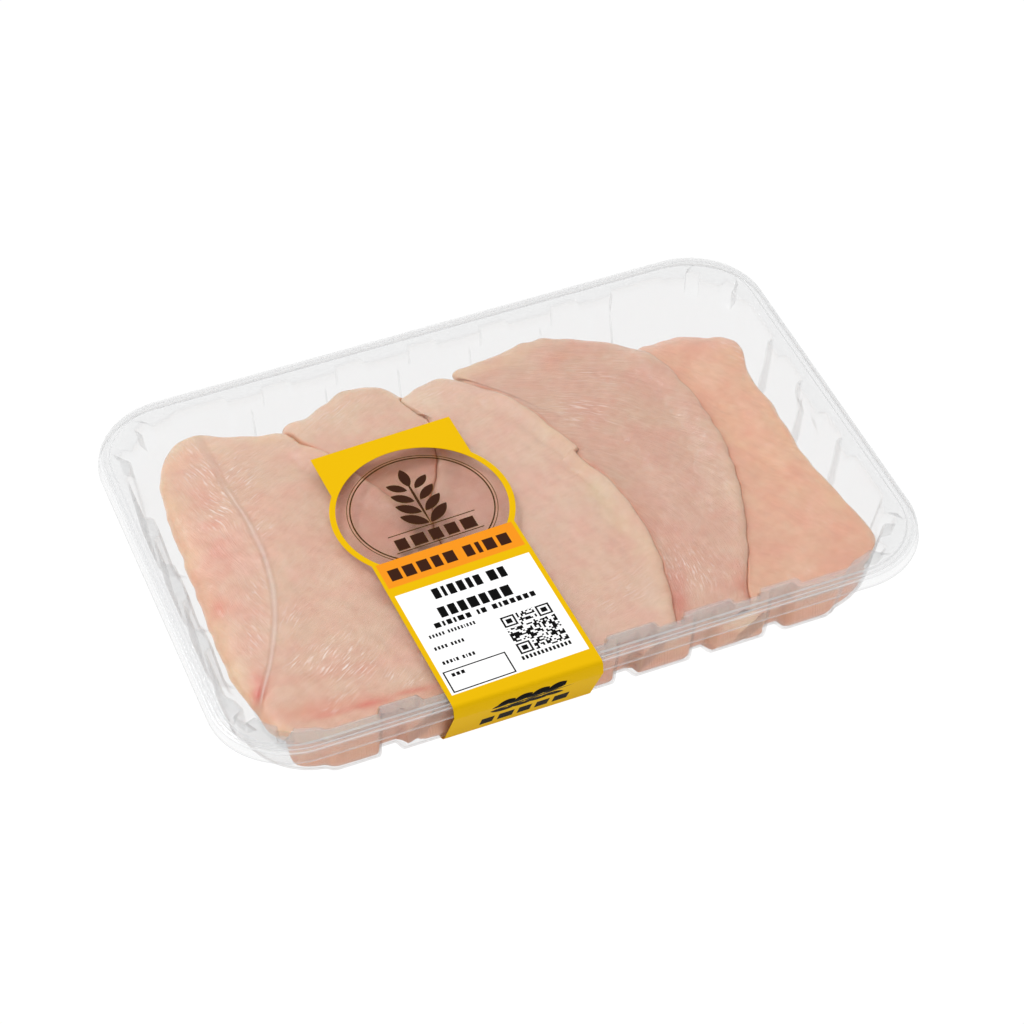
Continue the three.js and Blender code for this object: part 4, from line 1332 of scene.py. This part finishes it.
class TrayLook(bpy.types.PropertyGroup):
    sheet: number_setting("Sheet", "Thickness of the tray's formed sheet", 0.00045, unit="LENGTH")
    plastic: colour_setting("Plastic", "Colour of the plastic where it is milky or shines", 246, 247, 248)
    tint: colour_setting("Tint", "What the tray's sheet lets through face on", 252, 252, 252)
    edge_tint: colour_setting("Edge tint", "What the sheet lets through where it turns away", 150, 151, 152)
    # Scales the milk attribute, which holds both the flange's milkiness and its painted highlight lines
    milk_and_highlight: share_setting("Milk", "How milky the welded flange is", 0.38)
    gloss: number_setting("Gloss", "Strength of the sheet's own shine", 1.0)


class FilmLook(bpy.types.PropertyGroup):
    plastic: colour_setting("Plastic", "Colour of the film where it shines", 250, 250, 250)
    tint: colour_setting("Tint", "What the film lets through face on", 251, 251, 251)
    gloss: number_setting("Gloss", "Strength of the film's shine", 0.5)


class LabelLook(bpy.types.PropertyGroup):
    yellow: colour_setting("Yellow", "The label's ground", 226, 179, 1)
    orange: colour_setting("Orange", "The band under the window", 236, 144, 28)
    white: colour_setting("White", "The panel", 253, 253, 253)
    brown: colour_setting("Brown", "Print in the window and on the band", 58, 30, 18)
    black: colour_setting("Black", "Print on the panel and the side", 8, 8, 8)
    window: colour_setting("Window", "What the window lets through", 250, 246, 246)
    window_clear: share_setting("Window share", "How clear the window is", 1.0)


class MeatLook(bpy.types.PropertyGroup):
    roughness: share_setting("Roughness", "Roughness of the meat under its wet coat", 0.48)
    soak: share_setting("Soak", "Share of the light that soaks into the meat", 0.35)
    soak_depth: number_setting("Soak depth", "How far the light goes in", 0.003, unit="LENGTH")
    wet: share_setting("Wet", "Strength of the wet coat", 0.9)
    wet_roughness: share_setting("Wet roughness", "Roughness of the wet coat", 0.12)
    fibre_bump: number_setting("Fibre relief", "Relief of the fibres", 0.35)
    wet_bump: number_setting("Wet relief", "Relief of the wet coat", 1.0)


class StudioLook(bpy.types.PropertyGroup):
    floor: colour_setting("Floor", "The floor's colour", 205, 205, 205)
    floor_glow: number_setting("Floor glow", "Light of the floor's own", 0.4)
    backdrop: number_setting("Backdrop", "The floor's light where seen", 1.03)
    horizon: number_setting("Horizon", "Light from low down", 0.42)
    zenith: number_setting("Zenith", "Light from straight above", 1.18)
    lamp: number_setting("Lamp", "Power of the lamp overhead", 5.0, unit="POWER")


LOOKS = {"tray_look": TrayLook, "film_look": FilmLook, "label_look": LabelLook, "meat_look": MeatLook,
         "studio_look": StudioLook}


# Operators


class MakeTray(bpy.types.Operator):
    """Build the clear ribbed tray with its flange, skirt and stacking lugs"""
    bl_idname = "chicken.make_tray"
    bl_label = "Tray"

    def execute(self, context):
        look = context.scene.tray_look
        tray = build_tray(look.sheet / MM)
        material = clear_plastic("tray_plastic", look, look.tint, look.edge_tint, look.gloss, look.milk_and_highlight)
        finish_piece(tray, material, "tray")
        return {"FINISHED"}


class MakeFilm(bpy.types.Operator):
    """Build the clear film that is sealed to the tray's flange"""
    bl_idname = "chicken.make_film"
    bl_label = "Lid film"

    def execute(self, context):
        look = context.scene.film_look
        film = build_film()
        material = clear_plastic("lid_plastic", look, look.tint, look.tint, look.gloss, 0.0)
        finish_piece(film, material, "lid_film")
        return {"FINISHED"}


class MakeLabel(bpy.types.Operator):
    """Build the printed label that folds down over the near edge"""
    bl_idname = "chicken.make_label"
    bl_label = "Label"

    def execute(self, context):
        finish_piece(build_label(), label_material(context.scene.label_look), "label")
        return {"FINISHED"}


class MakeTopFillets(bpy.types.Operator):
    """Build the five fillets of the top layer, each pressed under those that lie on it"""
    bl_idname = "chicken.make_top_fillets"
    bl_label = "Top fillets"

    def execute(self, context):
        top, _ = all_fillets()
        rows = fillet_rows(*TOP_ROWS)
        for index, fillet in enumerate(top):
            contrast = FIBRE_CONTRAST.get(fillet.name, USUAL_CONTRAST)
            look = meat_material("meat_" + fillet.name, context.scene.meat_look, contrast)
            build_fillet(fillet, top[:index], rows, look)
        return {"FINISHED"}


class MakeLowFillets(bpy.types.Operator):
    """Build the five fillets of the lower layer"""
    bl_idname = "chicken.make_low_fillets"
    bl_label = "Lower fillets"

    def execute(self, context):
        top, low = all_fillets()
        rows = fillet_rows(*LOW_ROWS)
        look = meat_material("meat_low", context.scene.meat_look, LOW_CONTRAST)
        for index, fillet in enumerate(low):
            build_fillet(fillet, top + low[:index], rows, look)
        return {"FINISHED"}


class MakeStudio(bpy.types.Operator):
    """Set up the pale floor, the soft light and the camera"""
    bl_idname = "chicken.make_studio"
    bl_label = "Studio"

    def execute(self, context):
        look = context.scene.studio_look
        scene = context.scene
        paper = studio_material("floor_paper", look.floor, look.floor_glow, look.backdrop)
        floor = build_floor(paper)
        scene.world = sky_world(look.horizon, look.zenith)
        add_lamp("softbox", LAMP_PLACE, LAMP_SIZE, look.lamp)
        camera = bpy.data.cameras.new("camera")
        camera.lens = CAMERA_LENS
        camera.sensor_width = CAMERA_SENSOR
        camera.clip_end = CAMERA_REACH
        holder = bpy.data.objects.new("camera", camera)
        holder.matrix_world = camera_matrix()
        scene.collection.objects.link(holder)
        scene.camera = holder
        scene.view_settings.view_transform = "Standard"
        scene.cycles.transparent_max_bounces = 32
        return {"FINISHED"}


def build_floor(material):
    """A wide flat square under the pack."""
    mesh = bpy.data.meshes.new("floor")
    corners = [(x * FLOOR_REACH, y * FLOOR_REACH, 0) for x, y in ((-1, -1), (1, -1), (1, 1), (-1, 1))]
    mesh.from_pydata(corners, [], [(0, 1, 2, 3)])
    mesh.materials.append(material)
    floor = bpy.data.objects.new("floor", mesh)
    bpy.context.scene.collection.objects.link(floor)
    return floor


def add_lamp(name, place, size, power):
    """A square soft lamp that looks at the pack."""
    lamp = bpy.data.lights.new(name, "AREA")
    lamp.shape = "SQUARE"
    lamp.size = size
    lamp.energy = power
    holder = bpy.data.objects.new(name, lamp)
    holder.location = place
    holder.rotation_euler = Vector(place).to_track_quat("Z", "Y").to_euler()
    bpy.context.scene.collection.objects.link(holder)


def camera_matrix():
    """The camera's place and axes, from its azimuth, elevation and roll."""
    azimuth, elevation, roll = map(math.radians, (CAMERA_AZIMUTH, CAMERA_ELEVATION, CAMERA_ROLL))
    forward = np.array([math.sin(azimuth) * math.cos(elevation), math.cos(azimuth) * math.cos(elevation),
                        -math.sin(elevation)])
    level = np.array([math.cos(azimuth), -math.sin(azimuth), 0.0])
    upright = np.cross(level, forward)
    right = level * math.cos(roll) + upright * math.sin(roll)
    up = upright * math.cos(roll) - level * math.sin(roll)
    matrix = np.identity(4)
    matrix[:3, 0], matrix[:3, 1], matrix[:3, 2] = right, up, -forward
    matrix[:3, 3] = np.array(CAMERA_PLACE) * MM
    return Matrix(matrix.tolist())


OPERATORS = (MakeTray, MakeFilm, MakeLabel, MakeTopFillets, MakeLowFillets, MakeStudio)


class ChickenPanel(bpy.types.Panel):
    """Lists the pack's pieces and their looks"""
    bl_idname = "VIEW3D_PT_chicken_pack"
    bl_label = "Chicken pack"
    bl_space_type = "VIEW_3D"
    bl_region_type = "UI"
    bl_category = "Chicken"

    def draw(self, context):
        for operator in OPERATORS:
            self.layout.operator(operator.bl_idname)
        for name, look in LOOKS.items():
            box = self.layout.box()
            for key in look.__annotations__:
                box.prop(getattr(context.scene, name), key)


CLASSES = (*LOOKS.values(), *OPERATORS, ChickenPanel)


def register():
    """Register the classes and hang each look's settings on the scene."""
    for item in CLASSES:
        bpy.utils.register_class(item)
    for name, look in LOOKS.items():
        setattr(bpy.types.Scene, name, bpy.props.PointerProperty(type=look))


def unregister():
    """Take the settings and the classes away again."""
    for name in LOOKS:
        delattr(bpy.types.Scene, name)
    for item in reversed(CLASSES):
        bpy.utils.unregister_class(item)


def main():
    """Build the whole scene."""
    register()
    bpy.ops.chicken.make_tray()
    bpy.ops.chicken.make_film()
    bpy.ops.chicken.make_label()
    bpy.ops.chicken.make_top_fillets()
    bpy.ops.chicken.make_low_fillets()
    bpy.ops.chicken.make_studio()


if __name__ == "__main__":
    main()
